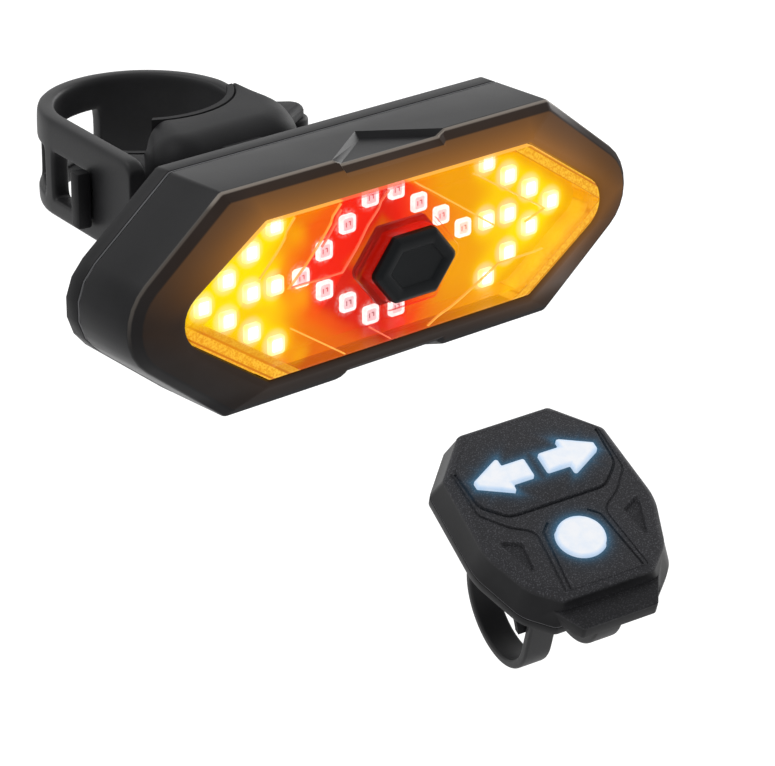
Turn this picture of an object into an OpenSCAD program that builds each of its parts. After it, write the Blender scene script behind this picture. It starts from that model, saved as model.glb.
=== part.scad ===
// Bicycle turn signal light: a hexagonal rear lamp on a strap-on seat-post
// bracket, with a wireless handlebar remote beside it.
// Origin: seat-post axis at the middle height of the clamp. +Z runs up the post,
// the lamp shines towards -Y. Millimetres.

/* [Lamp case] */
// Width over the two side points, before they are rounded
case_w = 122; // [112:0.5:128]
// Height over the flat top and bottom
case_h = 39; // [36:0.5:46]
// Length of the flat top edge
case_flat = 71.6; // [66:0.2:78]
// Depth of the side walls, rear face to front edge
case_d = 16.5; // [15.5:0.25:22]
// Height of the lens rim above the front edge
face_rise = 3.4; // [2.5:0.1:5]
// Thickness of the side walls
case_wall = 2; // [1.6:0.1:2.6]
// Depth of the front wall beside the lens
lip_t = 3.2; // [2.4:0.1:3.6]
// Rounding of the two side points
tip_r = 9.5; // [6:0.5:11]
// Rounding of the four other corners
corner_r = 1.5; // [0.5:0.1:3]
// Inset of the dark bevel along the front edge
bevel_in = 1.5; // [1:0.1:1.9]
// Rise of that bevel
bevel_rise = 1.5; // [1.3:0.1:2]
// Width of the rim around the lens
rim_w = 1.2; // [0.8:0.1:1.8]
// Thickness of the rear cover's plate
cover_t = 3; // [2.6:0.1:4]
// Visible seam between the cover and the front housing
seam_t = 0.4; // [0.2:0.1:0.8]
// Height of the locating wall on the rear cover
spigot_h = 2.2; // [1.5:0.1:3]
// Thickness of the locating wall
spigot_t = 1.3; // [1:0.1:2]
// Half width of the V-shaped recess in the top and bottom faces
notch_half = 12.6; // [8:0.2:16]
// Reach of that recess from the front edge
notch_reach = 8.8; // [5:0.2:11]
// Depth of that recess
notch_d = 1; // [0.4:0.1:1.2]

/* [Lens] */
// Width of the lens over its points, before they are rounded
lens_w = 99.6; // [92:0.2:102]
// Height of the lens
lens_h = 27.6; // [26.6:0.2:28.6]
// Length of the lens's flat top edge
lens_flat = 58; // [52:0.5:62]
// Rounding of the lens's side points
lens_tip_r = 5; // [2.5:0.5:6]
// Wall of the lens
lens_wall = 1.4; // [1.2:0.1:1.6]
// Height of the crown above the rim
lens_crown = 2; // [1.4:0.1:3]
// Width of the flat band around the crown
lens_band = 1.8; // [1:0.1:2.6]
// Width of the hidden flange behind the front wall
flange_w = 1.6; // [1:0.1:1.8]
// Thickness of that flange
flange_t = 1.6; // [1:0.1:2]
// Thickness of the seal in front of that flange
lens_seal_t = 0.5; // [0.3:0.1:0.8]
// Width of the collar around the button
collar_w = 1.2; // [0.8:0.1:2]
// Height of the collar above the crown
collar_h = 0.6; // [0.3:0.1:1]

/* [Lamp board and battery] */
// Thickness of the circuit board
board_t = 1.2; // [0.8:0.1:1.6]
// Width and height of one light chip
led_w = 3.2; // [2.4:0.1:3.6]
// Thickness of one light chip
led_t = 0.8; // [0.5:0.1:1.2]
// Sideways step from one chip to the next along an arrow's arm
led_step_x = 5.05; // [4.4:0.05:5.2]
// Upward step from one chip to the next along an arrow's arm
led_step_y = 3.5; // [3.2:0.05:3.6]
// Place of the tip of the red arrow heads
red_tip_x = 18; // [17.4:0.1:19.4]
// Place of the tip of the amber arrow heads
amber_tip_x = 38.6; // [37:0.1:39]
// Length of the battery cell
battery_l = 50; // [40:1:51]
// Height of the battery cell
battery_h = 25; // [20:0.5:26]
// Thickness of the battery cell
battery_t = 5.5; // [4:0.1:6.5]
// Thickness of the foam pad under the cell
battery_pad_t = 1.4; // [0.8:0.1:2]
// Width of the radio receiver module
receiver_w = 12; // [10:0.5:12.5]
// Height of the radio receiver module
receiver_h = 14; // [10:0.5:16]
// Thickness of the radio receiver module
receiver_t = 2; // [1.4:0.1:2.6]
// Distance of the receiver from the middle
receiver_x = 34; // [32:0.5:36]
// Distance of the case screws from the middle
screw_x = 30; // [26:0.5:32]
// Radius of the case screws' bosses
boss_r = 2.5; // [2.2:0.1:2.8]
// Overlap of a boss with the side wall
boss_bite = 0.7; // [0.3:0.1:1]

/* [Screws] */
// Radius of a screw's shank
shank_r = 0.75; // [0.6:0.05:0.9]
// Radius of a screw's head
head_r = 1.9; // [1.6:0.1:2]
// Height of a screw's head
head_h = 1.2; // [0.9:0.1:1.4]
// Length of the case screws' shanks
case_screw_l = 7; // [5:0.5:8]
// Length of the remote screws' shanks
remote_screw_l = 5; // [4.5:0.1:5.4]

/* [Power button] */
// Width of the button over its points
button_w = 18.4; // [16:0.2:20]
// Height of the button
button_h = 11.5; // [10:0.1:13]
// Length of the button's flat top edge
button_flat = 9; // [7:0.2:11]
// Stand of the button above the crown of the lens
button_proud = 2; // [1.4:0.1:3]
// Travel of the button
button_travel = 0.8; // [0.4:0.05:1]
// Bevel around the button's top
button_bevel = 0.9; // [0.4:0.1:1.2]
// Width of the flange that keeps the button in
button_flange = 1.2; // [0.8:0.1:1.6]
// Thickness of that flange
button_flange_t = 0.8; // [0.6:0.1:1]
// Depth of the finger hollow in the button
button_dish = 0.5; // [0.2:0.1:0.9]
// Distance from the button's edge to that hollow
button_border = 2.2; // [1.6:0.1:2.8]
// Width of the switch under the button
switch_w = 6; // [5:0.1:7]
// Thickness of that switch
switch_t = 2; // [1.5:0.1:2.6]
// Radius of the switch's plunger
plunger_r = 1.7; // [1.2:0.1:2]

/* [Charge port] */
// Distance of the port from the middle
port_x = 37; // [35:0.5:39]
// Width of the socket's metal shell
socket_w = 9; // [8.6:0.1:9.6]
// Height of the socket's metal shell
socket_h = 3.2; // [3:0.1:3.6]
// Wall of that shell
socket_wall = 0.3; // [0.2:0.05:0.5]
// Depth from the rear face to the socket's mouth
socket_in = 2.2; // [1.9:0.1:2.5]
// Thickness of the socket's back
socket_back = 1.5; // [1:0.1:2]
// Width of the socket's tongue
tongue_w = 6.7; // [6:0.1:7]
// Thickness of the socket's tongue
tongue_t = 0.7; // [0.5:0.05:0.9]
// Length of the rubber flap
flap_l = 14; // [13:0.2:16]
// Height of the rubber flap
flap_h = 8; // [7:0.2:10]
// Thickness of the rubber flap
flap_t = 1.3; // [1:0.1:1.5]
// Radius of the bead that the flap turns on
bead_r = 1.2; // [1:0.05:1.4]
// Length of that bead
bead_l = 6; // [4:0.2:7]
// Inset of the flap's plug from the socket's outline
plug_in = 0.5; // [0.4:0.1:0.8]
// Thickness of the block around the port, in front of the cover's plate
tower_t = 2; // [1.6:0.1:2.6]

/* [Slide mount] */
// Distance from the seat-post axis to the lamp's rear face
standoff = 51; // [48:0.5:60]
// Drop of the lamp's middle below the clamp's middle
lamp_drop = 1; // [0:0.5:4]
// Width of the shoe on the lamp's rear
shoe_w = 24; // [22:0.5:30]
// Height of the shoe
shoe_h = 26; // [22:0.5:32]
// Depth of the shoe
shoe_d = 13; // [12:0.25:15]
// Thickness of the shoe's two lips
shoe_lip = 3; // [2:0.1:4]
// Thickness of the stop at the top of the shoe's slot
shoe_cap = 3; // [2:0.1:4]
// Width of the rail's head
rail_w = 16; // [14:0.5:17]
// Thickness of the rail's head
rail_t = 3.5; // [2.5:0.1:5]
// Width of the rail's neck
neck_w = 9; // [7:0.5:10]

/* [Bracket and strap] */
// Diameter of the seat post
post_d = 30.9; // [27.2:0.1:33]
// Height of the saddle
saddle_h = 22; // [20:0.5:26]
// Thickness of the rubber pad in the saddle
pad_t = 1.2; // [0.8:0.1:1.8]
// Distance from the post axis to the saddle's nose
nose_y = 29; // [27:0.5:33]
// Width of the saddle's nose
nose_w = 26; // [22:0.5:30]
// Rounding of the saddle's front corners
nose_r = 7; // [4:0.5:8]
// Distance from the post axis to the ends of the saddle's wings
wing_y = 7.4; // [7:0.1:8.5]
// Height of the left wing's top above the saddle's middle
wing_top = 5; // [4.5:0.5:6]
// Distance from the post axis to the widest part of the saddle
cheek_y = 20; // [18:0.5:22]
// Height of the strap
strap_h = 18.4; // [16:0.2:18.6]
// Thickness of the strap
strap_t = 3.4; // [2.6:0.1:4]
// Angle at which the strap's two runs spread forward
strap_spread = 8; // [6:0.5:10]
// Length of the strap's free run past the middle of the post
strap_run = 29; // [24:0.5:34]
// Height of the strap's windows
window_h = 8.6; // [6:0.2:9]
// Distance of the windows' middle below the strap's middle
window_drop = 1.2; // [0:0.1:1.6]
// Length of the strap's windows around the post
window_l = 10; // [8:0.5:11]
// Length of the window that the hook holds
hook_window_l = 13.6; // [11:0.2:14]
// Distance from the middle of the post to the hooked window's front end
window_front = 14.4; // [14:0.1:15]
// Thickness of the web between two windows
window_web = 4.5; // [3.5:0.5:7]
// Height of the hook's head
hook_h = 10.4; // [9.6:0.2:12]
// Thickness of the hook's head
hook_t = 2.8; // [2:0.1:3.2]
// Length of the hook's head along the strap
hook_l = 3; // [2.8:0.1:4]
// Distance of the hook's head ahead of its neck's rear face
hook_lead = 0.9; // [0.4:0.1:1.2]
// Length of the hook's neck along the strap
hook_neck = 2.2; // [1.6:0.1:2.6]
// Radius of the strap's anchor pin
pin_r = 1.5; // [1:0.1:1.8]
// Wall of the strap's eye around the pin
eye_wall = 2; // [1.4:0.1:2.4]
// Height of the strap's end at the pin
pin_end_h = 12.5; // [11:0.1:14]
// Distance from the middle of the post to the start of the strap's taper
taper_from = 3; // [2:0.5:4]
// Distance from the middle of the post to the end of the strap's taper
taper_to = 13; // [12:0.5:13.5]
// Thickness of the saddle's ears
ear_h = 1.8; // [1.5:0.1:2.4]
// Wall of the saddle's ears around the pin
ear_wall = 1.2; // [1:0.1:1.8]
// Length of the strap's anchored run, from the middle of the post to the pin
pin_run = 20; // [18:0.5:21]

/* [Remote] */
// Diameter of the handlebar
bar_d = 22.2; // [20:0.1:24]
// Place of the remote's middle on the handlebar axis, to the right of the seat post
remote_x = 99.2; // [90:0.1:110]
// Place of that point behind the seat-post axis
remote_y = -3.3; // [-10:0.1:5]
// Height of that point
remote_z = -119.7; // [-130:0.1:-110]
// Turn of the remote about X
remote_tilt = 26.3; // [20:0.1:32]
// Turn of the remote about Y
remote_twist = -6.7; // [-10:0.1:0]
// Turn of the remote about Z
remote_yaw = -14.5; // [-22:0.1:-10]
// Height of the remote's face above the handlebar axis
face_z = 27.5; // [27:0.1:30]
// Thickness of the base plate
base_t = 2; // [1.8:0.1:2.2]
// Height of the base plate's underside above the handlebar axis
base_z = 17.8; // [17.5:0.1:18.1]
// Wall of the top shell
remote_wall = 1.6; // [1.2:0.1:2]
// Thickness of the shell's face
remote_face_t = 1.8; // [1.4:0.1:2]
// Flare of the shell's sides from the face down to the seam
remote_flare = 1.4; // [0.8:0.1:2]
// Bevel around the face
remote_bevel = 1.3; // [0.6:0.1:1.8]
// Thickness of the seal between shell and base
remote_seal_t = 0.4; // [0.2:0.1:0.6]
// Height of the raised panel around the arrow keys
panel_rise = 0.5; // [0.2:0.1:0.8]
// Stand of the keys above what is around them
key_proud = 0.7; // [0.3:0.1:1]
// Travel of the keys
key_travel = 0.6; // [0.3:0.05:0.8]
// Radius of the round key
round_key_r = 5.2; // [4.5:0.1:6]
// Place of the round key along the remote
round_key_y = -7.5; // [-9:0.5:-6]
// Place of the arrow keys along the remote
arrow_key_y = 12; // [11:0.1:13]
// Width of the flange that keeps a key in
key_flange = 1; // [0.6:0.1:1.2]
// Thickness of that flange
key_flange_t = 0.8; // [0.6:0.1:1]
// Length of the tab at the rider's side of the shell
tab_l = 6; // [5:0.2:7]
// Thickness of that tab
tab_t = 3.6; // [3:0.1:4]
// Half width of that tab at its root
tab_root = 12.5; // [11.5:0.1:13]
// Half width of that tab at its end
tab_end = 8.5; // [7:0.1:10]
// Thickness of the remote's circuit board
remote_board_t = 1; // [0.8:0.1:1.1]
// Gap between the base plate and the remote's circuit board
remote_board_gap = 1; // [0.9:0.1:1.1]
// Width of a key switch
key_switch_w = 4; // [3:0.1:4.5]
// Thickness of a key switch
key_switch_t = 1.2; // [0.9:0.1:1.4]
// Radius of a key switch's plunger
key_plunger_r = 1; // [0.6:0.1:1.4]
// Width of a key light
key_led_w = 1.6; // [1:0.1:2]
// Length of a key light
key_led_l = 1; // [0.8:0.1:1.2]
// Thickness of a key light
key_led_t = 0.6; // [0.4:0.1:0.9]
// Radius of the coin cell
cell_r = 10; // [9:0.1:10.4]
// Thickness of the coin cell
cell_t = 1.6; // [1.2:0.1:1.7]
// Place of the coin cell along the remote
cell_y = 4; // [3:0.5:5]
// Thickness of the cell's spring clip
clip_t = 0.4; // [0.2:0.05:0.5]
// Width of that clip
clip_w = 6; // [4:0.2:8]
// Radius of the remote's screw posts
post_r = 2.2; // [2.1:0.1:2.4]
// Length of the handlebar saddle along the bar
bar_saddle_l = 13; // [10:0.5:14]
// Half width of the handlebar saddle
bar_saddle_y = 9; // [8.6:0.1:9.4]
// Width of a rubber band
band_w = 6.4; // [5:0.2:7]
// Thickness of a rubber band
band_t = 2; // [1.6:0.1:2.6]
// Distance of a band from the remote's middle
band_x = 8.5; // [8:0.1:9.4]
// Radius of the rod that a band hooks on
rod_r = 1.3; // [1:0.1:1.6]
// Thickness of the ears that hold a rod
ear_t = 1.8; // [1.4:0.1:2.4]
// Room between a band's eye and the base plate
band_gap = 0.4; // [0.3:0.1:0.6]

/* [Fits] */
// Gap between pieces that move past each other
run_gap = 0.25; // [0.2:0.05:0.35]
// Gap between fixed pieces that fit in each other
fit_gap = 0.1; // [0.05:0.05:0.2]

/* [Hidden] */

$fn = 64;
arc_steps = 5;
thin = 0.02;
cut = 1;
least_r = 1;

// Levels of the lamp, measured forward from its rear face
housing_z = cover_t + seam_t;
face_top = case_d + face_rise;
lip_z = face_top - lip_t;
flange_top = lip_z - lens_seal_t;
flange_bottom = flange_top - flange_t;
board_bottom = flange_bottom - board_t;
crown_top = face_top + lens_crown;
button_top = crown_top + button_proud;
screw_y = case_h / 2 - case_wall - boss_r + boss_bite;

// Sizes of hexagons: width over points, height over flats, length of the flat edge
case_hex = [case_w, case_h, case_flat];
lens_hex = [lens_w, lens_h, lens_flat];
button_hex = [button_w, button_h, button_flat];
lens_corner_r = corner_r;
button_tip_r = 1.2;
button_corner_r = 0.8;

// Rings of the lens crown: inset in widths of its band, and share of its height.
// The button's flange lies behind the middle ring.
crown_rings = [[1, 0.2], [2.5, 0.7], [4.5, 1]];
button_flange_top = face_top + lens_crown * crown_rings[1][1] - lens_wall - run_gap;
plunger_top = button_flange_top - button_flange_t - button_travel;

// Flap: its bead's axis, and the pocket around it
bead_x = port_x - flap_l / 2 - bead_r;
bead_z = bead_r + run_gap;
pocket_d = flap_t + 2 * run_gap;
tower_margin = 1.6;

// Rail and slot, measured forward from the lamp's rear face
slot_z0 = shoe_lip - shoe_d;
slot_t = rail_t + 2 * run_gap;
rail_back_y = -standoff - slot_z0 - run_gap;
rail_front_y = rail_back_y - rail_t;
rail_top = shoe_h / 2 - shoe_cap - run_gap - lamp_drop;

// Bracket
seat_r = post_d / 2;
cup_r = seat_r + pad_t;
strap_mid = seat_r + strap_t / 2;
strap_clear = 0.3;
strap_step = 0.05;
strap_steps = 32;
hook_root = 0.9;
window_z = -window_h / 2 - window_drop;
wing_r = 0.4;
pin_at = [strap_mid * cos(strap_spread) + pin_run * sin(strap_spread),
          strap_mid * sin(strap_spread) - pin_run * cos(strap_spread)];
eye_r = pin_r + eye_wall;
ear_r = pin_r + ear_wall;
ear_pts = [pin_at, [14, -17], [13, -21.5]];
ear_z = pin_end_h / 2 + run_gap;
collar_end = [[-6.8, -12.5], [-15.2, -20.2]];
cheek_x = (seat_r - strap_clear) * cos(strap_spread) + cheek_y * tan(strap_spread);
wing_x = (seat_r - strap_clear) * cos(strap_spread) + wing_y * tan(strap_spread);

// Remote: levels above the handlebar axis and the outline of its face
bar_r = bar_d / 2;
bar_saddle_z = sqrt(pow(bar_r + pad_t, 2) - pow(bar_r, 2)) + run_gap;
base_top = base_z + base_t;
shell_z = base_top + remote_seal_t;
shell_inner = face_z - remote_face_t;
rboard_z = base_top + remote_board_gap;
rboard_top = rboard_z + remote_board_t;
key_flange_top = shell_inner - run_gap;
key_plunger_top = key_flange_top - key_flange_t - key_travel;
cell_z = rboard_z - cell_t - clip_t;
remote_at = [remote_x, remote_y, remote_z];
remote_turn = [remote_tilt, remote_twist, remote_yaw];
face_pts = [[10.8, 26.2], [19, 17], [20, -3.6], [16, -14.8], [10.6, -19.9]];
face_radii = [1.5, 2, 14, 8, 2];
face_waist = 10;
tab_y = face_pts[len(face_pts) - 1].y;
tab_radii = [1, 0.3];
post_half_pts = [[15.2, 1.5], [7.5, -15.6]];
post_pts = both_sides(post_half_pts);
rod_y = bar_r + band_t / 2 + band_gap;
rod_z = base_z - rod_r - band_t - fit_gap - band_gap;
arrow_tip_x = 14;
arrow_barb_x = 6.8;
arrow_barb_h = 4.75;
arrow_tail_x = 1.6;
arrow_tail_h = 2.5;
arrow_slant = atan2(arrow_barb_h, arrow_tip_x - arrow_barb_x);
arrow_mid_x = (arrow_tip_x + arrow_tail_x) / 2;
key_pts = [[-arrow_mid_x, arrow_key_y], [arrow_mid_x, arrow_key_y], [0, round_key_y]];

// Right half of the raised panel, measured from the middle between the arrow keys
panel_pts = [[10, 11.6], [16.2, 5], [15.6, -5], [11, -9.4]];
panel_radii = [1, 2.5, 4, 4];

// Points of an arc of radius r that rounds the corner b between a and c
function fillet(a, b, c, r) =
    let (u = (a - b) / norm(a - b), v = (c - b) / norm(c - b), half = acos(u * v) / 2,
         m = b + (u + v) / norm(u + v) * r / sin(half),
         s = b + u * r / tan(half) - m, e = b + v * r / tan(half) - m,
         from = atan2(s.y, s.x), turn = atan2(e.y, e.x) - from,
         sweep = turn > 180 ? turn - 360 : turn < -180 ? turn + 360 : turn)
    [for (i = [0:arc_steps]) let (a = from + sweep * i / arc_steps) m + r * [cos(a), sin(a)]];

// A polygon's points with each corner rounded by its own radius
function rounded(p, r) =
    let (n = len(p))
    [for (i = [0:n - 1]) each fillet(p[(i + n - 1) % n], p[i], p[(i + 1) % n], r[i])];

// The points of a right half, then their mirror images from the last to the first
function both_sides(p) = concat(p, [for (i = [len(p) - 1:-1:0]) [-p[i].x, p[i].y]]);

// The radii that go with those points
function both_radii(r) = concat(r, [for (i = [len(r) - 1:-1:0]) r[i]]);

// A point turned about the origin by a
function turned(p, a) = [p.x * cos(a) - p.y * sin(a), p.x * sin(a) + p.y * cos(a)];

// A hexagon's size after every edge moves in by d
function hex_in(s, d) =
    let (a = (s[0] - s[2]) / 2, b = s[1] / 2, l = norm([a, b]))
    [s[0] - 2 * d * l / b, s[1] - 2 * d, s[2] - 2 * d * (l - a) / b];

// Outline of a hexagon with points left and right
function hex_outline(s, tip, corner) =
    let (w = s[0] / 2, h = s[1] / 2, t = s[2] / 2)
    rounded([[t, h], [w, 0], [t, -h], [-t, -h], [-w, 0], [-t, h]],
            [corner, tip, corner, corner, tip, corner]);

// A hexagonal slab from z to z + t
module hex_slab(s, tip, corner, z, t) {
    translate([0, 0, z]) linear_extrude(t) polygon(hex_outline(s, tip, corner));
}

module case_slab(d, z, t) hex_slab(hex_in(case_hex, d), max(tip_r - d, least_r), corner_r, z, t);
module lens_slab(d, z, t) hex_slab(hex_in(lens_hex, d), max(lens_tip_r - d, least_r), lens_corner_r, z, t);
module button_slab(d, z, t) hex_slab(hex_in(button_hex, d), button_tip_r, button_corner_r, z, t);

// Turns the lamp's own frame (x right, y up, z forward) to its place
module on_lamp() translate([0, -standoff, -lamp_drop]) rotate([90, 0, 0]) children();

// Turns the remote's own frame (x along the bar, z out of its face) to its place
module on_remote() translate(remote_at) rotate(remote_turn) children();

// Copies at the four case screws
module at_screws() for (x = [-1, 1], y = [-1, 1]) translate([x * screw_x, y * screw_y]) children();

// Copies at the four remote screws
module at_posts() for (p = post_pts) translate(p) children();

// A slot with round ends, centred, w over the ends and h high
module slot_2d(w, h) {
    square([w - h, h], center = true);
    for (x = [-1, 1]) translate([x * (w - h) / 2, 0]) circle(d = h);
}

// One screw, its head's underside at z = 0 and its shank upward
module screw(l) {
    translate([0, 0, -head_h]) cylinder(r = head_r, h = head_h);
    cylinder(r = shank_r, h = l);
}

// Saddle of the bracket, seen from above
module saddle_plan() {
    difference() {
        polygon(rounded([[wing_x, -wing_y], [-wing_x, -wing_y], [-cheek_x, -cheek_y],
                         [-nose_w / 2, -nose_y], [nose_w / 2, -nose_y], [cheek_x, -cheek_y]],
                        [wing_r, wing_r, nose_r, nose_r, nose_r, nose_r]));
        circle(r = cup_r);
    }
}

// Places its children on the strap's run: side is -1 left or 1 right, d is ahead of the post
module on_run(side, d) rotate(side * strap_spread) translate([side * seat_r, -d]) children();

module hook() {
    on_run(-1, window_front - hook_neck - run_gap) {
        translate([-strap_t - run_gap - hook_t, -hook_lead - hook_l, -hook_h / 2 - window_drop])
            cube([hook_t, hook_l, hook_h]);
        translate([-strap_t - run_gap - hook_t / 2, -hook_neck, window_z + run_gap])
            cube([strap_t + run_gap + hook_t / 2 + hook_root, hook_neck, window_h - 2 * run_gap]);
    }
}

module anchor_ears() {
    for (flip = [0, 1]) mirror([0, 0, flip])
        translate([0, 0, ear_z]) linear_extrude(ear_h)
            hull() for (p = ear_pts) translate(p) circle(r = ear_r);
}

// Room above the left wing, beside the end of the thick collar
module wing_room() {
    translate([0, 0, wing_top]) linear_extrude(saddle_h)
        polygon(concat(collar_end, [[-post_d, collar_end[1].y], [-post_d, 0], [collar_end[0].x, 0]]));
}

module saddle() {
    color("#2b2b2d") difference() {
        union() {
            difference() {
                translate([0, 0, -saddle_h / 2]) linear_extrude(saddle_h) saddle_plan();
                wing_room();
            }
            anchor_ears();
            hook();
            translate([-neck_w / 2, rail_back_y, -saddle_h / 2])
                cube([neck_w, -nose_y - rail_back_y + nose_r, rail_top + saddle_h / 2]);
            translate([-rail_w / 2, rail_front_y, -saddle_h / 2])
                cube([rail_w, rail_t, rail_top + saddle_h / 2]);
        }
        translate([0, 0, -saddle_h]) cylinder(r = cup_r, h = 2 * saddle_h);
        translate([pin_at.x, pin_at.y, -saddle_h]) cylinder(r = pin_r + fit_gap, h = 2 * saddle_h);
        translate([pin_at.x, pin_at.y, -ear_z]) cylinder(r = eye_r + strap_clear, h = 2 * ear_z);
    }
}

module saddle_pad() {
    color("#1d1d1f") difference() {
        intersection() {
            translate([0, 0, -saddle_h / 2]) cylinder(r = cup_r, h = saddle_h);
            translate([-post_d, -post_d - wing_y, -saddle_h]) cube([2 * post_d, post_d, 2 * saddle_h]);
        }
        translate([0, 0, -saddle_h]) cylinder(r = seat_r, h = 2 * saddle_h);
        wing_room();
    }
}

// Strap seen from above: round the back of the post, then forward on both sides.
// The arc's inner side lies inside the post's radius, and the post's own cylinder cuts it true.
function strap_outline() =
    let (out = seat_r + strap_t, run_in = seat_r + strap_step, arc_in = seat_r - strap_t / 4,
         sweep = 180 - 2 * strap_spread,
         angles = [for (i = [0:strap_steps]) strap_spread + sweep * i / strap_steps])
    concat([turned([run_in, -pin_run], strap_spread), turned([out, -pin_run], strap_spread)],
           [for (a = angles) out * [cos(a), sin(a)]],
           [for (x = [-out, -run_in]) turned([x, -strap_run], -strap_spread)],
           [turned([-run_in, 0], -strap_spread)],
           [for (i = [strap_steps:-1:0]) arc_in * [cos(angles[i]), sin(angles[i])]],
           [turned([run_in, 0], strap_spread)]);

module strap_form() {
    translate([0, 0, -strap_h / 2]) linear_extrude(strap_h) polygon(strap_outline());
    translate([pin_at.x, pin_at.y, -strap_h / 2]) cylinder(r = eye_r, h = strap_h);
}

// What the strap's anchored run loses above and below, down to its end's height
module strap_taper() {
    fall = (strap_h - pin_end_h) / 2 / (taper_to - taper_from);
    for (flip = [0, 1]) mirror([0, 0, flip])
        on_run(1, 0) translate([-2 * strap_t, 0]) rotate([90, 0, 90]) linear_extrude(5 * strap_t)
            polygon([[0, strap_h / 2 + fall * taper_from], [-taper_to, pin_end_h / 2],
                     [-strap_run, pin_end_h / 2], [-strap_run, strap_h], [0, strap_h]]);
}

module strap() {
    color("#232325") difference() {
        strap_form();
        strap_taper();
        translate([0, 0, -strap_h]) cylinder(r = seat_r, h = 2 * strap_h);
        translate([pin_at.x, pin_at.y, -strap_h]) cylinder(r = pin_r + fit_gap, h = 2 * strap_h);
        on_run(-1, window_front)
            translate([-2 * strap_t, 0, window_z]) cube([3 * strap_t, hook_window_l, window_h]);
        for (turn = [1, 2])
            rotate(-strap_spread - (turn - 0.5) * (window_l + window_web) / strap_mid * 180 / PI)
                translate([-seat_r - 2 * strap_t, -window_l / 2, window_z])
                    cube([3 * strap_t, window_l, window_h]);
    }
}

module strap_pin() {
    color("#8a8a8e") translate([pin_at.x, pin_at.y, -ear_z - ear_h])
        cylinder(r = pin_r, h = 2 * (ear_z + ear_h));
}

// Outside of the front housing, from the seam to the lens rim
module housing_form() {
    hull() {
        case_slab(0, housing_z, case_d - housing_z);
        case_slab(bevel_in, case_d, bevel_rise);
        lens_slab(-rim_w, face_top - thin, thin);
    }
}

// V-shaped recess at the front edge of the top face
module notch() {
    translate([0, case_h / 2 - notch_d, 0]) rotate([-90, 0, 0]) linear_extrude(case_h)
        polygon([[-notch_half, -case_d], [0, notch_reach - case_d], [notch_half, -case_d],
                 [notch_half, -face_top], [-notch_half, -face_top]]);
}

module front_housing() {
    color("#2f2f31") on_lamp() difference() {
        union() {
            difference() {
                housing_form();
                case_slab(case_wall, 0, lip_z);
            }
            at_screws() translate([0, 0, housing_z]) cylinder(r = boss_r, h = board_bottom - housing_z);
        }
        lens_slab(0, lip_z - cut, lip_t + 2 * cut);
        notch();
        mirror([0, 1, 0]) notch();
        at_screws() cylinder(r = shank_r + fit_gap / 2, h = cover_t + case_screw_l);
    }
}

// Slot in the shoe for the bracket's rail, open below and stopped above
module rail_slot() {
    top = shoe_h / 2 - shoe_cap;
    translate([-rail_w / 2 - run_gap, -shoe_h, slot_z0])
        cube([rail_w + 2 * run_gap, shoe_h + top, slot_t]);
    translate([-neck_w / 2 - run_gap, -shoe_h, -shoe_d - cut])
        cube([neck_w + 2 * run_gap, shoe_h + top, shoe_lip + 2 * cut]);
}

// Pocket for the flap, the room that its bead turns in and the socket's opening
module port_cut() {
    translate([port_x - flap_l / 2 - bead_r, -flap_h / 2 - run_gap, -cut])
        cube([flap_l + bead_r + run_gap, flap_h + 2 * run_gap, pocket_d + cut]);
    translate([bead_x, 0, bead_z]) rotate([90, 0, 0])
        cylinder(r = bead_r + run_gap, h = flap_h + 2 * run_gap, center = true);
    translate([bead_x - bead_r - run_gap, -flap_h / 2 - run_gap, -cut])
        cube([2 * bead_r, flap_h + 2 * run_gap, bead_z + cut]);
    translate([port_x, 0, 0]) linear_extrude(case_d)
        slot_2d(socket_w + 2 * fit_gap, socket_h + 2 * fit_gap);
}

module rear_cover() {
    color("#29292b") on_lamp() difference() {
        union() {
            case_slab(0, 0, cover_t);
            difference() {
                case_slab(case_wall + fit_gap, cover_t, spigot_h);
                case_slab(case_wall + fit_gap + spigot_t, cover_t, spigot_h + cut);
                at_screws() cylinder(r = boss_r + fit_gap, h = case_d);
            }
            translate([-shoe_w / 2, -shoe_h / 2, -shoe_d]) cube([shoe_w, shoe_h, shoe_d]);
            translate([bead_x - bead_r - tower_margin, -flap_h / 2 - tower_margin, cover_t])
                cube([flap_l + 2 * bead_r + 2 * tower_margin, flap_h + 2 * tower_margin, tower_t]);
        }
        rail_slot();
        port_cut();
        at_screws() {
            translate([0, 0, -cut]) cylinder(r = head_r + fit_gap, h = cut + head_h + fit_gap);
            cylinder(r = shank_r + 2 * fit_gap, h = case_d);
        }
    }
}

module case_seal() {
    color("#9a9a9a") on_lamp() difference() {
        case_slab(fit_gap, cover_t, seam_t);
        case_slab(case_wall, cover_t - cut, seam_t + 2 * cut);
        at_screws() cylinder(r = boss_r + fit_gap, h = case_d);
    }
}

module case_screws() {
    color("#777777") on_lamp() at_screws() translate([0, 0, head_h + fit_gap]) screw(case_screw_l);
}

// Crown of the lens above its rim; drop lowers it for the hollow behind
module crown(drop, inset) {
    hull() {
        lens_slab(inset, face_top - drop - thin, thin);
        for (ring = crown_rings)
            lens_slab(lens_band * ring[0] + inset, face_top + lens_crown * ring[1] - drop - thin, thin);
    }
}

module lens() {
    color("#ff8a1a", 0.6) on_lamp() difference() {
        union() {
            lens_slab(-flange_w, flange_bottom, flange_t);
            lens_slab(fit_gap, flange_bottom, face_top - flange_bottom);
            crown(0, fit_gap);
            button_slab(-collar_w - run_gap, face_top, lens_crown + collar_h);
        }
        lens_slab(lens_wall, flange_bottom - cut, face_top - lens_wall - flange_bottom + cut);
        crown(lens_wall, lens_wall);
        button_slab(-run_gap, flange_bottom, case_d);
    }
}

module lens_seal() {
    color("#5a5a5a") on_lamp() difference() {
        lens_slab(-flange_w, flange_top, lens_seal_t);
        lens_slab(0, flange_top - cut, lens_seal_t + 2 * cut);
    }
}

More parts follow.
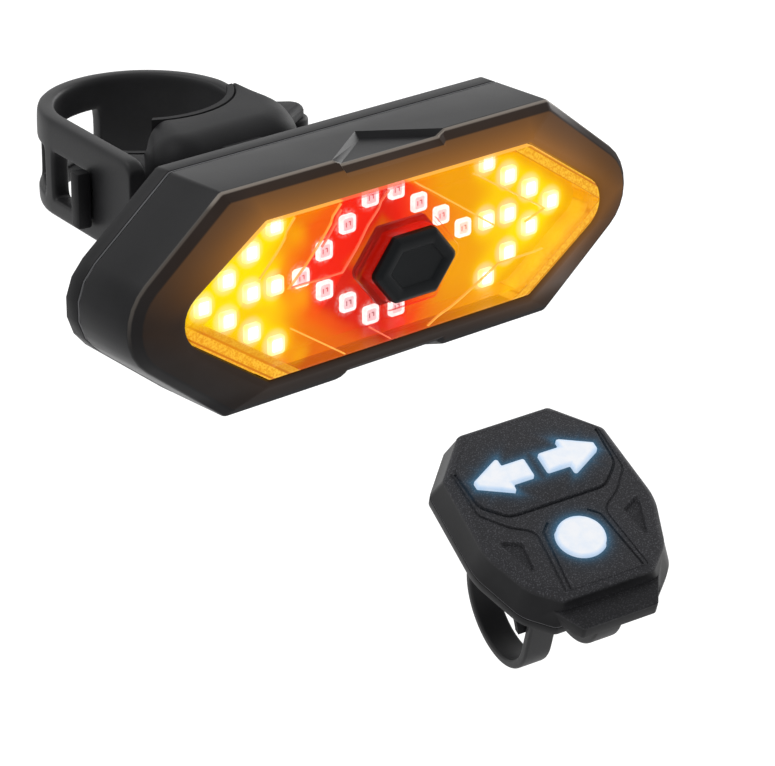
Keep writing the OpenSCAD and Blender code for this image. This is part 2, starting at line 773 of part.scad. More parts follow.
module led_board() {
    color("#e9e4da") on_lamp() lens_slab(fit_gap - flange_w, board_bottom, board_t);
}

// One light chip on the board, its place given in steps back from an arrow's tip
module led(tip_x, steps, up) {
    translate([tip_x - steps * led_step_x, up * steps * led_step_y, flange_bottom + led_t / 2])
        cube([led_w, led_w, led_t], center = true);
}

// Arrow head of chips with its tip at tip_x, pointing to +x
module led_head(tip_x) {
    led(tip_x, 0, 0);
    for (steps = [1:3], up = [-1, 1]) led(tip_x, steps, up);
}

// Arrow head with two chips of a shaft behind its tip
module led_arrow() {
    led_head(amber_tip_x);
    for (steps = [2, 3]) led(amber_tip_x, steps, 0);
}

module red_leds() {
    color("#ff2a1a") on_lamp() {
        led_head(red_tip_x);
        mirror([1, 0, 0]) led_head(red_tip_x);
    }
}

module left_amber_leds() { color("#ffd060") on_lamp() mirror([1, 0, 0]) led_arrow(); }
module right_amber_leds() { color("#ffd060") on_lamp() led_arrow(); }

module power_switch() {
    color("#b8b8b8") on_lamp() {
        translate([-switch_w / 2, -switch_w / 2, flange_bottom]) cube([switch_w, switch_w, switch_t]);
        translate([0, 0, flange_bottom]) cylinder(r = plunger_r, h = plunger_top - flange_bottom);
    }
}

module receiver_module() {
    color("#2e7d4f") on_lamp()
        translate([-receiver_x - receiver_w / 2, -receiver_h / 2, board_bottom - receiver_t])
            cube([receiver_w, receiver_h, receiver_t]);
}

module battery_pad() {
    color("#44444a") on_lamp()
        translate([-battery_l / 2, -battery_h / 2, cover_t]) cube([battery_l, battery_h, battery_pad_t]);
}

module battery_cell() {
    color("#c3c7cc") on_lamp()
        translate([-battery_l / 2, -battery_h / 2, cover_t + battery_pad_t])
            cube([battery_l, battery_h, battery_t]);
}

module charge_socket() {
    depth = board_bottom - socket_in;
    color("#c9c9cd") on_lamp() translate([port_x, 0, socket_in]) {
        difference() {
            linear_extrude(depth) slot_2d(socket_w, socket_h);
            translate([0, 0, -cut]) linear_extrude(depth - socket_back + cut)
                slot_2d(socket_w - 2 * socket_wall, socket_h - 2 * socket_wall);
        }
        translate([-tongue_w / 2, -tongue_t / 2, socket_back])
            cube([tongue_w, tongue_t, depth - 1.5 * socket_back]);
    }
}

module power_button() {
    color("#1a1a1c") on_lamp() difference() {
        union() {
            button_slab(-button_flange, button_flange_top - button_flange_t, button_flange_t);
            button_slab(0, button_flange_top - thin, button_top - button_bevel - button_flange_top + thin);
            hull() {
                button_slab(0, button_top - button_bevel - thin, thin);
                button_slab(button_bevel, button_top - thin, thin);
            }
        }
        button_slab(button_border, button_top - button_dish, cut);
    }
}

module charge_flap() {
    plate_z = run_gap;
    boss_h = socket_in - plate_z - flap_t - run_gap;
    color("#202022") on_lamp() {
        translate([port_x - flap_l / 2, -flap_h / 2, plate_z]) cube([flap_l, flap_h, flap_t]);
        translate([bead_x, -bead_l / 2, plate_z]) cube([bead_r * 2, bead_l, flap_t]);
        translate([bead_x, 0, bead_z]) rotate([90, 0, 0]) cylinder(r = bead_r, h = bead_l, center = true);
        translate([port_x, 0, plate_z + flap_t]) linear_extrude(boss_h)
            slot_2d(socket_w - 2 * plug_in, socket_h - 2 * plug_in);
    }
}

// Outline of the remote's face, moved out by d: the shell and its base follow it
function face_outline(d) =
    rounded(both_sides([for (p = face_pts) [p.x + d, abs(p.y) > face_waist ? p.y + d * sign(p.y) : p.y]]),
            both_radii(face_radii));

module face_slab(d, z, t) translate([0, 0, z]) linear_extrude(t) polygon(face_outline(d));

// Arrow pointing to +x, grown by d all round
module arrow_2d(d) {
    tip = arrow_tip_x + d / sin(arrow_slant);
    barb = arrow_barb_h + d / cos(arrow_slant) + d * tan(arrow_slant);
    polygon([[tip, 0], [arrow_barb_x - d, barb],
             [arrow_barb_x - d, arrow_tail_h + d], [arrow_tail_x - d, arrow_tail_h + d],
             [arrow_tail_x - d, -arrow_tail_h - d], [arrow_barb_x - d, -arrow_tail_h - d],
             [arrow_barb_x - d, -barb]]);
}

// Raised panel around the two arrow keys
module panel_2d() {
    translate([0, arrow_key_y]) polygon(rounded(both_sides(panel_pts), both_radii(panel_radii)));
}

module remote_shell() {
    color("#202022") on_remote() difference() {
        union() {
            difference() {
                hull() {
                    face_slab(remote_flare, shell_z, thin);
                    face_slab(0, face_z - remote_bevel, thin);
                    face_slab(-remote_bevel, face_z - thin, thin);
                }
                face_slab(-remote_wall, shell_z - cut, shell_inner - shell_z + cut);
            }
            at_posts() translate([0, 0, rboard_top])
                cylinder(r = post_r, h = face_z - remote_bevel - rboard_top);
            translate([0, 0, face_z - thin]) linear_extrude(panel_rise + thin) panel_2d();
            translate([0, 0, shell_z + run_gap]) linear_extrude(tab_t - run_gap)
                polygon(rounded(both_sides([[tab_end, tab_y - tab_l], [tab_root, tab_y]]),
                                both_radii(tab_radii)));
        }
        for (side = [0, 1]) mirror([side, 0, 0])
            translate([0, arrow_key_y, shell_inner - cut]) linear_extrude(face_z) arrow_2d(run_gap);
        translate([0, round_key_y, shell_inner - cut]) cylinder(r = round_key_r + run_gap, h = face_z);
        at_posts() cylinder(r = shank_r + fit_gap / 2, h = base_z + head_h + remote_screw_l + fit_gap);
    }
}

module remote_seal() {
    color("#55555a") on_remote() difference() {
        face_slab(remote_flare - fit_gap, base_top, remote_seal_t);
        face_slab(-remote_wall, base_top - cut, remote_seal_t + 2 * cut);
    }
}

// Rod for one rubber band, held by an ear at each end under the base plate
module band_rod(y) {
    reach = band_w / 2 + fit_gap;
    translate([-reach - ear_t, y, rod_z]) rotate([0, 90, 0]) cylinder(r = rod_r, h = 2 * (reach + ear_t));
    for (x = [-reach - ear_t, reach])
        translate([x, y - rod_r, rod_z]) cube([ear_t, 2 * rod_r, base_z - rod_z]);
}

module remote_base() {
    color("#1c1c1e") on_remote() difference() {
        union() {
            face_slab(remote_flare, base_z, base_t);
            translate([-bar_saddle_l, -bar_saddle_y, bar_saddle_z])
                cube([2 * bar_saddle_l, 2 * bar_saddle_y, base_z + base_t / 2 - bar_saddle_z]);
            for (x = [-1, 1], y = [-1, 1]) translate([x * band_x, 0]) band_rod(y * rod_y);
            at_posts() translate([0, 0, base_top]) cylinder(r = post_r, h = remote_board_gap);
        }
        rotate([0, 90, 0]) cylinder(r = bar_r + pad_t, h = 4 * bar_saddle_l, center = true);
        translate([0, cell_y, cell_z]) cylinder(r = cell_r + fit_gap, h = face_z);
        at_posts() {
            translate([0, 0, bar_saddle_z])
                cylinder(r = head_r + fit_gap, h = base_z + head_h + fit_gap - bar_saddle_z);
            cylinder(r = shank_r + 2 * fit_gap, h = face_z);
        }
    }
}

module remote_pad() {
    color("#161617") on_remote() intersection() {
        rotate([0, 90, 0]) difference() {
            cylinder(r = bar_r + pad_t, h = 2 * bar_saddle_l, center = true);
            cylinder(r = bar_r, h = 3 * bar_saddle_l, center = true);
        }
        translate([-bar_d, -bar_d, bar_saddle_z]) cube(2 * bar_d);
    }
}

// Rubber band seen along the bar: under the bar, then up to an eye on each rod
module band_plan() {
    difference() {
        union() {
            difference() {
                circle(r = bar_r + band_t);
                translate([-bar_d, 0]) square([2 * bar_d, bar_d]);
            }
            for (y = [-1, 1]) {
                translate([y > 0 ? bar_r : -bar_r - band_t, 0]) square([band_t, rod_z]);
                translate([y * rod_y, rod_z]) circle(r = rod_r + band_t);
            }
        }
        circle(r = bar_r);
        for (y = [-1, 1]) translate([y * rod_y, rod_z]) circle(r = rod_r + fit_gap);
    }
}

// One rubber band around the bar, x along the bar
module band(x) {
    color("#19191a") on_remote() translate([x - band_w / 2, 0, 0]) rotate([90, 0, 90])
        linear_extrude(band_w) band_plan();
}

module left_band() { band(-band_x); }
module right_band() { band(band_x); }

module remote_board() {
    color("#1f6b3a") on_remote() difference() {
        face_slab(-remote_wall - 2 * fit_gap, rboard_z, remote_board_t);
        at_posts() cylinder(r = shank_r + 2 * fit_gap, h = face_z);
    }
}

module remote_switches() {
    color("#b8b8b8") on_remote() for (p = key_pts) translate([p.x, p.y, rboard_top]) {
        translate([-key_switch_w / 2, -key_switch_w / 2, 0])
            cube([key_switch_w, key_switch_w, key_switch_t]);
        cylinder(r = key_plunger_r, h = key_plunger_top - rboard_top);
    }
}

module remote_leds() {
    color("#f4f8ff") on_remote() for (p = key_pts)
        translate([p.x - key_led_w / 2, p.y - key_switch_w / 2 - 2 * key_led_l, rboard_top])
            cube([key_led_w, key_led_l, key_led_t]);
}

module coin_cell() {
    color("#d0d3d6") on_remote() translate([0, cell_y, cell_z]) cylinder(r = cell_r, h = cell_t);
}

module cell_clip() {
    color("#c8b070") on_remote() translate([-clip_w / 2, cell_y - cell_r / 2, cell_z + cell_t])
        cube([clip_w, cell_r, clip_t]);
}

module remote_screws() {
    color("#777777") on_remote() at_posts()
        translate([0, 0, base_z + head_h + fit_gap]) screw(remote_screw_l);
}

// A key: its flange under the face and its cap through the face
module key(top) {
    translate([0, 0, key_flange_top - key_flange_t]) linear_extrude(key_flange_t) children(0);
    translate([0, 0, key_flange_top - thin]) linear_extrude(top - key_flange_top + thin) children(1);
}

module arrow_key(side) {
    color("#eef4ff") on_remote() mirror([side, 0, 0]) translate([0, arrow_key_y, 0])
        key(face_z + panel_rise + key_proud) {
            arrow_2d(key_flange);
            arrow_2d(0);
        }
}

module left_key() { arrow_key(1); }
module right_key() { arrow_key(0); }

module round_key() {
    color("#eef4ff") on_remote() translate([0, round_key_y, 0]) key(face_z + key_proud) {
        circle(r = round_key_r + key_flange);
        circle(r = round_key_r);
    }
}

saddle();
saddle_pad();
strap();
strap_pin();
front_housing();
rear_cover();
case_seal();
case_screws();
lens();
lens_seal();
led_board();
red_leds();
left_amber_leds();
right_amber_leds();
power_switch();
receiver_module();
battery_cell();
battery_pad();
charge_socket();
power_button();
charge_flap();
remote_shell();
remote_base();
remote_seal();
remote_pad();
left_band();
right_band();
remote_board();
remote_switches();
remote_leds();
coin_cell();
cell_clip();
remote_screws();
left_key();
right_key();
round_key();
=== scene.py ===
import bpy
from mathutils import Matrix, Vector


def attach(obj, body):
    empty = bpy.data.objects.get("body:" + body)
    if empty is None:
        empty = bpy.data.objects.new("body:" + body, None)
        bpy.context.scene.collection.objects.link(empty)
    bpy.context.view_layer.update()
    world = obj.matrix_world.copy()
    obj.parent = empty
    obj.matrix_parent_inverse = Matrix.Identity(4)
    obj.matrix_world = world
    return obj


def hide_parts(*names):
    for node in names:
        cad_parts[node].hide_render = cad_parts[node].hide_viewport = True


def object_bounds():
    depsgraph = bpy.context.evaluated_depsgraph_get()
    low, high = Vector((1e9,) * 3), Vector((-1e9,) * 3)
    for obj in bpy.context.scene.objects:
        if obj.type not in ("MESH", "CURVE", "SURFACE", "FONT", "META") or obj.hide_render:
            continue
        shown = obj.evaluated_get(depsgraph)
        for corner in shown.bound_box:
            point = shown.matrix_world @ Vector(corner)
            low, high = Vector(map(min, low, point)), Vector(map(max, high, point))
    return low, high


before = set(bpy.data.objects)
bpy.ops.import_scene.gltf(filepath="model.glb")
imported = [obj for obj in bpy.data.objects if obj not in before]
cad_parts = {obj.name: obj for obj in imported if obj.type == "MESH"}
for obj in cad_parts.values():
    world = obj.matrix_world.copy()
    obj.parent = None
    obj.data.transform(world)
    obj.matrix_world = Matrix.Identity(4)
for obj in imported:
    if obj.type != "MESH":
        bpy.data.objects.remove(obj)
cad_box = [list(corner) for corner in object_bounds()]

import math

import bmesh
import bpy
from bpy.props import FloatProperty, FloatVectorProperty, PointerProperty
from mathutils import Euler, Matrix, Vector

bl_info = {
    "name": "Bicycle Turn Signal Light",
    "version": (1, 0, 0),
    "blender": (4, 5, 0),
    "location": "3D View > Sidebar > Turn Light",
    "description": "Models and finishes the lamp, its seat post bracket and its remote",
    "category": "Object",
}

# Pieces are modelled in millimetres in their own unit's axes, and then placed in metres.
MM = 0.001
ARC_STEPS = 8
STRIP_STEP = 1.2


def length(name, description, default):
    """A property for a length."""
    return FloatProperty(name=name, description=description, default=default,
                         unit="LENGTH", precision=4)


def colour(name, description, default):
    """A property for a colour."""
    return FloatVectorProperty(name=name, description=description, default=default,
                               subtype="COLOR", size=3, min=0, max=1)


class LampSettings(bpy.types.PropertyGroup):
    """Sizes and colours of the lamp"""
    standoff: length("Standoff", "Rear face of the lamp ahead of the post axis", 0.051)
    drop: length("Drop", "Middle of the lamp below the middle of the saddle", 0.001)
    case_width: length("Case width", "Case over its two points, corners sharp", 0.122)
    case_height: length("Case height", "Case over its flats", 0.039)
    case_flat: length("Case flat", "Long straight edge of the case", 0.0716)
    case_depth: length("Case depth", "Rear face to front edge", 0.0165)
    face_rise: length("Face rise", "Front edge to the rim of the lens", 0.0034)
    lens_width: length("Lens width", "Lens over its two points, corners sharp", 0.0996)
    lens_height: length("Lens height", "Lens over its flats", 0.0276)
    lens_flat: length("Lens flat", "Long straight edge of the lens", 0.058)
    button_width: length("Button width", "Power button over its points", 0.0184)
    button_height: length("Button height", "Power button over its flats", 0.0115)
    button_flat: length("Button flat", "Long straight edge of the power button", 0.009)
    case_colour: colour("Case", "Plastic of the case", (0.011, 0.011, 0.012))
    button_colour: colour("Button", "Rubber of the power button", (0.003, 0.004, 0.005))
    amber: colour("Amber", "Glow of the turn arrows", (0.8, 0.25, 0.0))
    yellow: colour("Yellow", "Glow close to the turn chips", (1.0, 0.84, 0.0))
    red: colour("Red", "Glow of the tail light", (0.86, 0.012, 0.004))


class BracketSettings(bpy.types.PropertyGroup):
    """Sizes and colours of the seat post bracket"""
    post_diameter: length("Post", "Diameter of the seat post that it fits", 0.0309)
    saddle_height: length("Saddle height", "Height of the saddle along the post", 0.022)
    strap_height: length("Strap height", "Width of the strap along the post", 0.0184)
    strap_thickness: length("Strap thickness", "Thickness of the strap", 0.0034)
    saddle_colour: colour("Saddle", "Plastic of the saddle", (0.010, 0.010, 0.011))
    strap_colour: colour("Strap", "Rubber of the strap", (0.012, 0.012, 0.013))


class RemoteSettings(bpy.types.PropertyGroup):
    """Place, sizes and colours of the remote"""
    place: FloatVectorProperty(name="Place", description="Point on the handlebar axis",
                               default=(0.0992, -0.0033, -0.1197), subtype="TRANSLATION",
                               unit="LENGTH", precision=4)
    turn: FloatVectorProperty(name="Turn", description="Turn about x, then y, then z",
                              default=[math.radians(a) for a in (26.3, -6.7, -14.5)],
                              subtype="EULER", unit="ROTATION")
    bar_diameter: length("Bar", "Diameter of the handlebar that it fits", 0.0222)
    face_level: length("Face level", "Face above the handlebar axis", 0.0275)
    band_width: length("Band width", "Width of a rubber band", 0.0064)
    band_thickness: length("Band thickness", "Thickness of a rubber band", 0.002)
    shell_colour: colour("Shell", "Plastic of the shell", (0.01, 0.01, 0.011))
    key_colour: colour("Keys", "Glow of the keys' rims", (0.5, 0.72, 1.0))


class StageSettings(bpy.types.PropertyGroup):
    """Floor, lights and camera"""
    floor_gap: length("Floor gap", "Floor below the lowest point", 0.04)
    camera_place: FloatVectorProperty(name="Camera", description="Place of the camera",
                                      default=(-0.37418, -0.49552, 0.21558),
                                      subtype="TRANSLATION", unit="LENGTH", precision=4)
    camera_aim: FloatVectorProperty(name="Aim", description="Direction that the camera looks in",
                                    default=(0.6060, 0.6940, -0.3888), subtype="DIRECTION")
    focal_length: FloatProperty(name="Focal length", description="Lens of the camera in mm",
                                default=168.8, unit="CAMERA")


# Outlines

def fillet(before, corner, after, radius):
    """Points of the arc that rounds a corner."""
    u, v = (before - corner).normalized(), (after - corner).normalized()
    half = u.angle(v) / 2
    middle = corner + (u + v).normalized() * radius / math.sin(half)
    start = corner + u * radius / math.tan(half) - middle
    end = corner + v * radius / math.tan(half) - middle
    first = math.atan2(start.y, start.x)
    sweep = math.remainder(math.atan2(end.y, end.x) - first, math.tau)
    angles = [first + sweep * i / ARC_STEPS for i in range(ARC_STEPS + 1)]
    return [middle + radius * Vector((math.cos(a), math.sin(a))) for a in angles]


def rounded(corners, radii):
    """A polygon with each corner rounded by its own radius."""
    corners = [Vector(c) for c in corners]
    count = len(corners)
    return [point for i in range(count)
            for point in fillet(corners[i - 1], corners[i], corners[(i + 1) % count], radii[i])]


def route(corners, radii):
    """An open path with its inner corners rounded."""
    corners = [Vector(c) for c in corners]
    path = [corners[0]]
    for i, radius in enumerate(radii, 1):
        path += fillet(corners[i - 1], corners[i], corners[i + 1], radius)
    return path + [corners[-1]]


def both_sides(half):
    """The points of a right half, then their mirror images from the last to the first."""
    return list(half) + [(-x, y) for x, y in reversed(half)]


def both_radii(half):
    """The radii that go with those points."""
    return list(half) + list(reversed(half))


def circle(radius, count, x=0, y=0):
    """Points of a circle."""
    return [Vector((x + radius * math.cos(math.tau * i / count),
                    y + radius * math.sin(math.tau * i / count))) for i in range(count)]


def block(u, v):
    """Corners of a rectangle from half its width and height."""
    return [(u, v), (-u, v), (-u, -v), (u, -v)]


def level(outline, z):
    """An outline lifted to a level."""
    return [Vector((p.x, p.y, z)) for p in outline]


def hexagon(size, tip, corner):
    """A hexagon with points left and right: width, height and length of its flat edge."""
    w, h, f = (s / 2 for s in size)
    return rounded([(f, h), (w, 0), (f, -h), (-f, -h), (-w, 0), (-f, h)],
                   [corner, tip, corner, corner, tip, corner])


def hex_in(size, inset):
    """A hexagon's size after every edge moves in."""
    a, b = (size[0] - size[2]) / 2, size[1] / 2
    slant = math.hypot(a, b)
    return (size[0] - 2 * inset * slant / b, size[1] - 2 * inset,
            size[2] - 2 * inset * (slant - a) / b)


# Modelling by operators

def deselect():
    """Nothing is selected afterwards."""
    for chosen in bpy.context.selected_objects:
        chosen.select_set(False)


def activate(piece):
    """Only this piece is selected, and it is active."""
    deselect()
    piece.select_set(True)
    bpy.context.view_layer.objects.active = piece


def editing(piece):
    """Edit mode on a piece, with its faces to choose from and none selected."""
    activate(piece)
    bpy.ops.object.mode_set(mode="EDIT")
    bpy.ops.mesh.select_mode(type="FACE")
    bpy.ops.mesh.select_all(action="DESELECT")


def choose_faces(piece, test):
    """Selects the faces that pass a test, in edit mode."""
    mesh = bmesh.from_edit_mesh(piece.data)
    for face in mesh.faces:
        face.select_set(test(face))
    bmesh.update_edit_mesh(piece.data)


def object_mode():
    """Back from edit mode."""
    bpy.ops.object.mode_set(mode="OBJECT")


def loft(name, rings, looped=False):
    """Extrudes an outline from ring to ring; its two ends are caps, or are bridged in a loop."""
    deselect()
    count = len(rings[0])
    bpy.ops.mesh.primitive_circle_add(vertices=count, radius=1, fill_type="NGON")
    piece = bpy.context.object
    piece.name = name
    editing(piece)
    bpy.ops.mesh.select_all(action="SELECT")
    mesh = bmesh.from_edit_mesh(piece.data)
    order = mesh.verts.layers.int.new("order")
    for index, vertex in enumerate(mesh.verts):
        vertex[order] = index
        vertex.co = rings[0][index]
    bmesh.update_edit_mesh(piece.data)
    for ring in rings[1:]:
        bpy.ops.mesh.extrude_region_move(TRANSFORM_OT_translate={"value": (0, 0, 0)})
        mesh = bmesh.from_edit_mesh(piece.data)
        order = mesh.verts.layers.int["order"]
        for vertex in mesh.verts:
            if vertex.select:
                vertex.co = ring[vertex[order]]
        bmesh.update_edit_mesh(piece.data)
    if looped:
        choose_faces(piece, lambda face: len(face.verts) == count)
        bpy.ops.mesh.bridge_edge_loops()
    bpy.ops.mesh.select_all(action="SELECT")
    bpy.ops.mesh.normals_make_consistent(inside=False)
    object_mode()
    piece.data.attributes.remove(piece.data.attributes["order"])
    return piece


def modified(piece, kind, **settings):
    """Adds a modifier, sets it and applies it."""
    activate(piece)
    bpy.ops.object.modifier_add(type=kind)
    modifier = piece.modifiers[-1]
    for name, value in settings.items():
        setattr(modifier, name, value)
    bpy.ops.object.modifier_apply(modifier=modifier.name)
    return piece


def bevelled(piece, width, angle=30, segments=3):
    """Rounds the edges that are sharper than an angle."""
    return modified(piece, "BEVEL", width=width, segments=segments, limit_method="ANGLE",
                    angle_limit=math.radians(angle), harden_normals=False)


def combined(piece, other, operation):
    """Joins another solid to a piece or cuts it out of it."""
    modified(piece, "BOOLEAN", object=other, operation=operation, solver="EXACT")
    bpy.data.objects.remove(other)
    return piece


def carved(piece, *cutters):
    """Cuts solids out of a piece."""
    for cutter in cutters:
        combined(piece, cutter, "DIFFERENCE")
    return piece


def fused(piece, *others):
    """Joins solids to a piece."""
    for other in others:
        combined(piece, other, "UNION")
    return piece


def moved(piece, matrix):
    """Moves a piece by a matrix, which becomes part of its mesh."""
    activate(piece)
    piece.matrix_world = matrix
    bpy.ops.object.transform_apply(location=True, rotation=True, scale=True)
    return piece


def duplicate(piece, name):
    """A copy with its own mesh."""
    activate(piece)
    bpy.ops.object.duplicate()
    bpy.context.object.name = name
    return bpy.context.object


def copied(piece, name, matrix):
    """A copy with its own mesh, moved by a matrix."""
    return moved(duplicate(piece, name), matrix)


def joined(pieces, name):
    """Several pieces as one."""
    activate(pieces[0])
    for piece in pieces:
        piece.select_set(True)
    bpy.ops.object.join()
    bpy.context.object.name = name
    return bpy.context.object


def softened(node, name, width, body, slot):
    """Puts a copy of a CAD node with merged faces and rounded edges in its place."""
    piece = duplicate(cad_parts[node], name)
    piece.parent = None
    for mark in [mark for mark in piece.keys() if mark.startswith("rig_")]:
        del piece[mark]
    editing(piece)
    bpy.ops.mesh.select_all(action="SELECT")
    bpy.ops.mesh.remove_doubles(threshold=1e-6)
    bpy.ops.mesh.dissolve_limited(angle_limit=math.radians(1))
    object_mode()
    bevelled(piece, width * MM, 40, 2)
    placed(piece, Matrix.Identity(4), body, slot, node)


def painted(piece, first, second, test):
    """Gives a piece one finish, and the second on the faces that pass a test."""
    for finish in (first, second):
        piece.data.materials.append(finishes[finish])
    editing(piece)
    choose_faces(piece, test)
    piece.active_material_index = 1
    bpy.ops.object.material_slot_assign()
    object_mode()


def placed(piece, place, body, slot, *nodes, finish=None, smooth=35):
    """Puts a piece in the frame, on its body, in place of the nodes.

    Its finish has the slot's name, unless another is given or it was painted with two.
    """
    moved(piece, place)
    bpy.ops.object.shade_smooth_by_angle(angle=math.radians(smooth))
    if len(piece.data.materials) < 2:
        piece.data.materials.clear()
        piece.data.materials.append(finishes[finish or slot])
    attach(piece, body)
    if nodes:
        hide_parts(*nodes)


def strip(name, corners, section, height):
    """A thin bar that follows a path over a surface: section points are across and up."""
    corners = [Vector(c) for c in corners]
    path = []
    for start, end in zip(corners, corners[1:]):
        count = max(int((end - start).length / STRIP_STEP), 1)
        path += [start.lerp(end, i / count) for i in range(count)]
    path.append(corners[-1])
    rings = []
    for i, p in enumerate(path):
        before, after = path[max(i - 1, 0)], path[min(i + 1, len(path) - 1)]
        along = (after - before).normalized()
        turn = (p - before).normalized() if i else along
        side = Vector((-along.y, along.x)) / max(along.dot(turn), 0.5)
        z = height(p.x, p.y)
        rings.append([Vector((*(p + side * across), z + up)) for across, up in section])
    return loft(name, rings)


# Frames of the two units

def lamp_place():
    """From the lamp's own axes (x right, y up, z forward, mm) to the frame."""
    lamp = bpy.context.scene.turn_lamp
    return (Matrix.Translation((0, -lamp.standoff, -lamp.drop))
            @ Matrix.Rotation(math.pi / 2, 4, "X") @ Matrix.Scale(MM, 4))


def remote_place():
    """From the remote's own axes (x along the bar, z out of its face, mm) to the frame."""
    remote = bpy.context.scene.turn_remote
    return Matrix.LocRotScale(remote.place, Euler(remote.turn, "XYZ"), Vector((MM, MM, MM)))


# Radius at a hexagon's points, the share of an inset that comes off it and its least value,
# and the radius at the other corners
HEX_RADII = {"case": (9.5, 1, 1, 1.5), "lens": (5, 1, 1, 1.5), "button": (1.2, 0.3, 0.4, 0.8)}


def hex_size(name):
    """Width, height and flat edge of the case, the lens or the button."""
    lamp = bpy.context.scene.turn_lamp
    return [getattr(lamp, f"{name}_{part}") / MM for part in ("width", "height", "flat")]


def hex_rings(name, *rows):
    """Outlines of the case, the lens or the button: insets and levels."""
    tip, share, least, corner = HEX_RADII[name]
    size = hex_size(name)
    return [level(hexagon(hex_in(size, inset), max(tip - share * inset, least), corner), z)
            for inset, z in rows]


# Materials

class Value:
    """A shader socket that takes part in Python expressions."""

    def __init__(self, finish, socket):
        self.finish, self.socket = finish, socket

    def math(self, operation, *others):
        """A Math node on this value and others."""
        return self.finish.node("ShaderNodeMath", dict(enumerate((self,) + others)),
                                operation=operation)

    def __add__(self, other):
        return self.math("ADD", other)

    __radd__ = __add__

    def __mul__(self, other):
        return self.math("MULTIPLY", other)

    __rmul__ = __mul__

    def __sub__(self, other):
        return self.math("SUBTRACT", other)

    def __rsub__(self, other):
        return self * -1 + other

    def __truediv__(self, other):
        return self.math("DIVIDE", other)

    def __rtruediv__(self, other):
        return self ** -1 * other

    def __abs__(self):
        return self.math("ABSOLUTE")

    def __pow__(self, other):
        return self.math("POWER", other)

    def least(self, other):
        return self.math("MINIMUM", other)

    def most(self, other):
        return self.math("MAXIMUM", other)

    def step(self, low, high):
        """0 below low, 1 above high and smooth between them."""
        return self.finish.node("ShaderNodeMapRange",
                                {"Value": self, "From Min": low, "From Max": high},
                                interpolation_type="SMOOTHSTEP")

    def fall(self, low, high):
        """1 below low, 0 above high and smooth between them."""
        return 1 - self.step(low, high)


class Nodes:
    """A node tree whose nodes are added by one method."""

    def __init__(self, owner):
        owner.use_nodes = True
        self.tree = owner.node_tree

    def feed(self, socket, value):
        """Links a socket to a value, or sets it to a number or a colour."""
        if isinstance(value, Value):
            self.tree.links.new(value.socket, socket)
        elif hasattr(value, "__len__") and len(value) == 3 and socket.type == "RGBA":
            socket.default_value = (*value, 1)
        else:
            socket.default_value = value

    def node(self, kind, sockets=None, output=0, **settings):
        """Any node: its type, the values or links of its sockets and its settings."""
        node = self.tree.nodes.new(kind)
        for name, value in settings.items():
            setattr(node, name, value)
        for key, value in (sockets or {}).items():
            self.feed(node.inputs[key], value)
        return Value(self, node.outputs[output])


class Finish(Nodes):
    """A node material with one Principled shader."""

    def __init__(self, name):
        self.material = bpy.data.materials.new(name)
        super().__init__(self.material)
        self.shader = self.tree.nodes["Principled BSDF"]

    def place(self):
        """Object coordinates."""
        return self.node("ShaderNodeTexCoord", output=3)

    def axes(self, vector):
        """The three numbers of a vector."""
        split = self.tree.nodes.new("ShaderNodeSeparateXYZ")
        self.feed(split.inputs[0], vector)
        return [Value(self, socket) for socket in split.outputs]

    def noise(self, size, detail=3, roughness=0.55, vector=None):
        """Noise whose lumps are about this many millimetres across."""
        return self.node("ShaderNodeTexNoise",
                         {"Vector": vector or self.place(), "Scale": 1 / (size * MM),
                          "Detail": detail, "Roughness": roughness})

    def cells(self, size, vector=None):
        """Distance to the nearest point of cells about this many millimetres across."""
        return self.node("ShaderNodeTexVoronoi",
                         {"Vector": vector or self.place(), "Scale": 1 / (size * MM)})

    def mix(self, factor, a, b):
        """One colour turned into another."""
        return self.node("ShaderNodeMix", {0: factor, 6: a, 7: b}, output=2, data_type="RGBA")

    def tint(self, factor, shade):
        """A colour made darker by a socket."""
        return self.mix(factor, (0, 0, 0), shade)

    def bump(self, height, depth, strength=1.0):
        """A normal from a height, in millimetres of depth."""
        return self.node("ShaderNodeBump", {"Height": height, "Distance": depth * MM,
                                            "Strength": strength})

    def surface(self, **sockets):
        """Sets the shader's sockets; a name's underscores are spaces."""
        for name, value in sockets.items():
            self.feed(self.shader.inputs[name.replace("_", " ")], value)
        return self.material


def shade(base, factor):
    """A colour made lighter or darker."""
    return tuple(min(c * factor, 1) for c in base)


def moulded(name, base, roughness, grain, depth, specular=0.2):
    """Moulded plastic or rubber: clouding and a fine spark-eroded grain."""
    f = Finish(name)
    cloud = f.noise(9, 4)
    fine = f.noise(grain, 2, 0.6)
    pits = f.cells(grain * 1.6)
    rough = roughness + (cloud - 0.5) * 0.12 + (fine - 0.5) * 0.1
    return f.surface(Base_Color=f.mix(cloud.step(0.3, 0.7), shade(base, 0.82), shade(base, 1.22)),
                     Roughness=rough, Specular_IOR_Level=specular,
                     Normal=f.bump(fine + pits * 0.5, depth, 0.6))


def metal(name, base, roughness, streak=0.4):
    """Plated or drawn metal with fine streaks and a little tarnish."""
    f = Finish(name)
    x, y, z = f.axes(f.place())
    drawn = f.node("ShaderNodeCombineXYZ", {0: x, 1: y * 8, 2: z})
    lines = f.noise(streak, 2, 0.5, drawn)
    stain = f.noise(3, 4)
    return f.surface(Base_Color=f.mix(stain.step(0.35, 0.75), base, shade(base, 0.75)),
                     Roughness=roughness + (lines - 0.5) * 0.2, Metallic=1.0,
                     Normal=f.bump(lines, 0.01, 0.5))


# Finishes of the lamp, in millimetres of its own axes

CHIP_STEP = (5.05, 3.5)
RED_TIP, AMBER_TIP = 18, 38.6
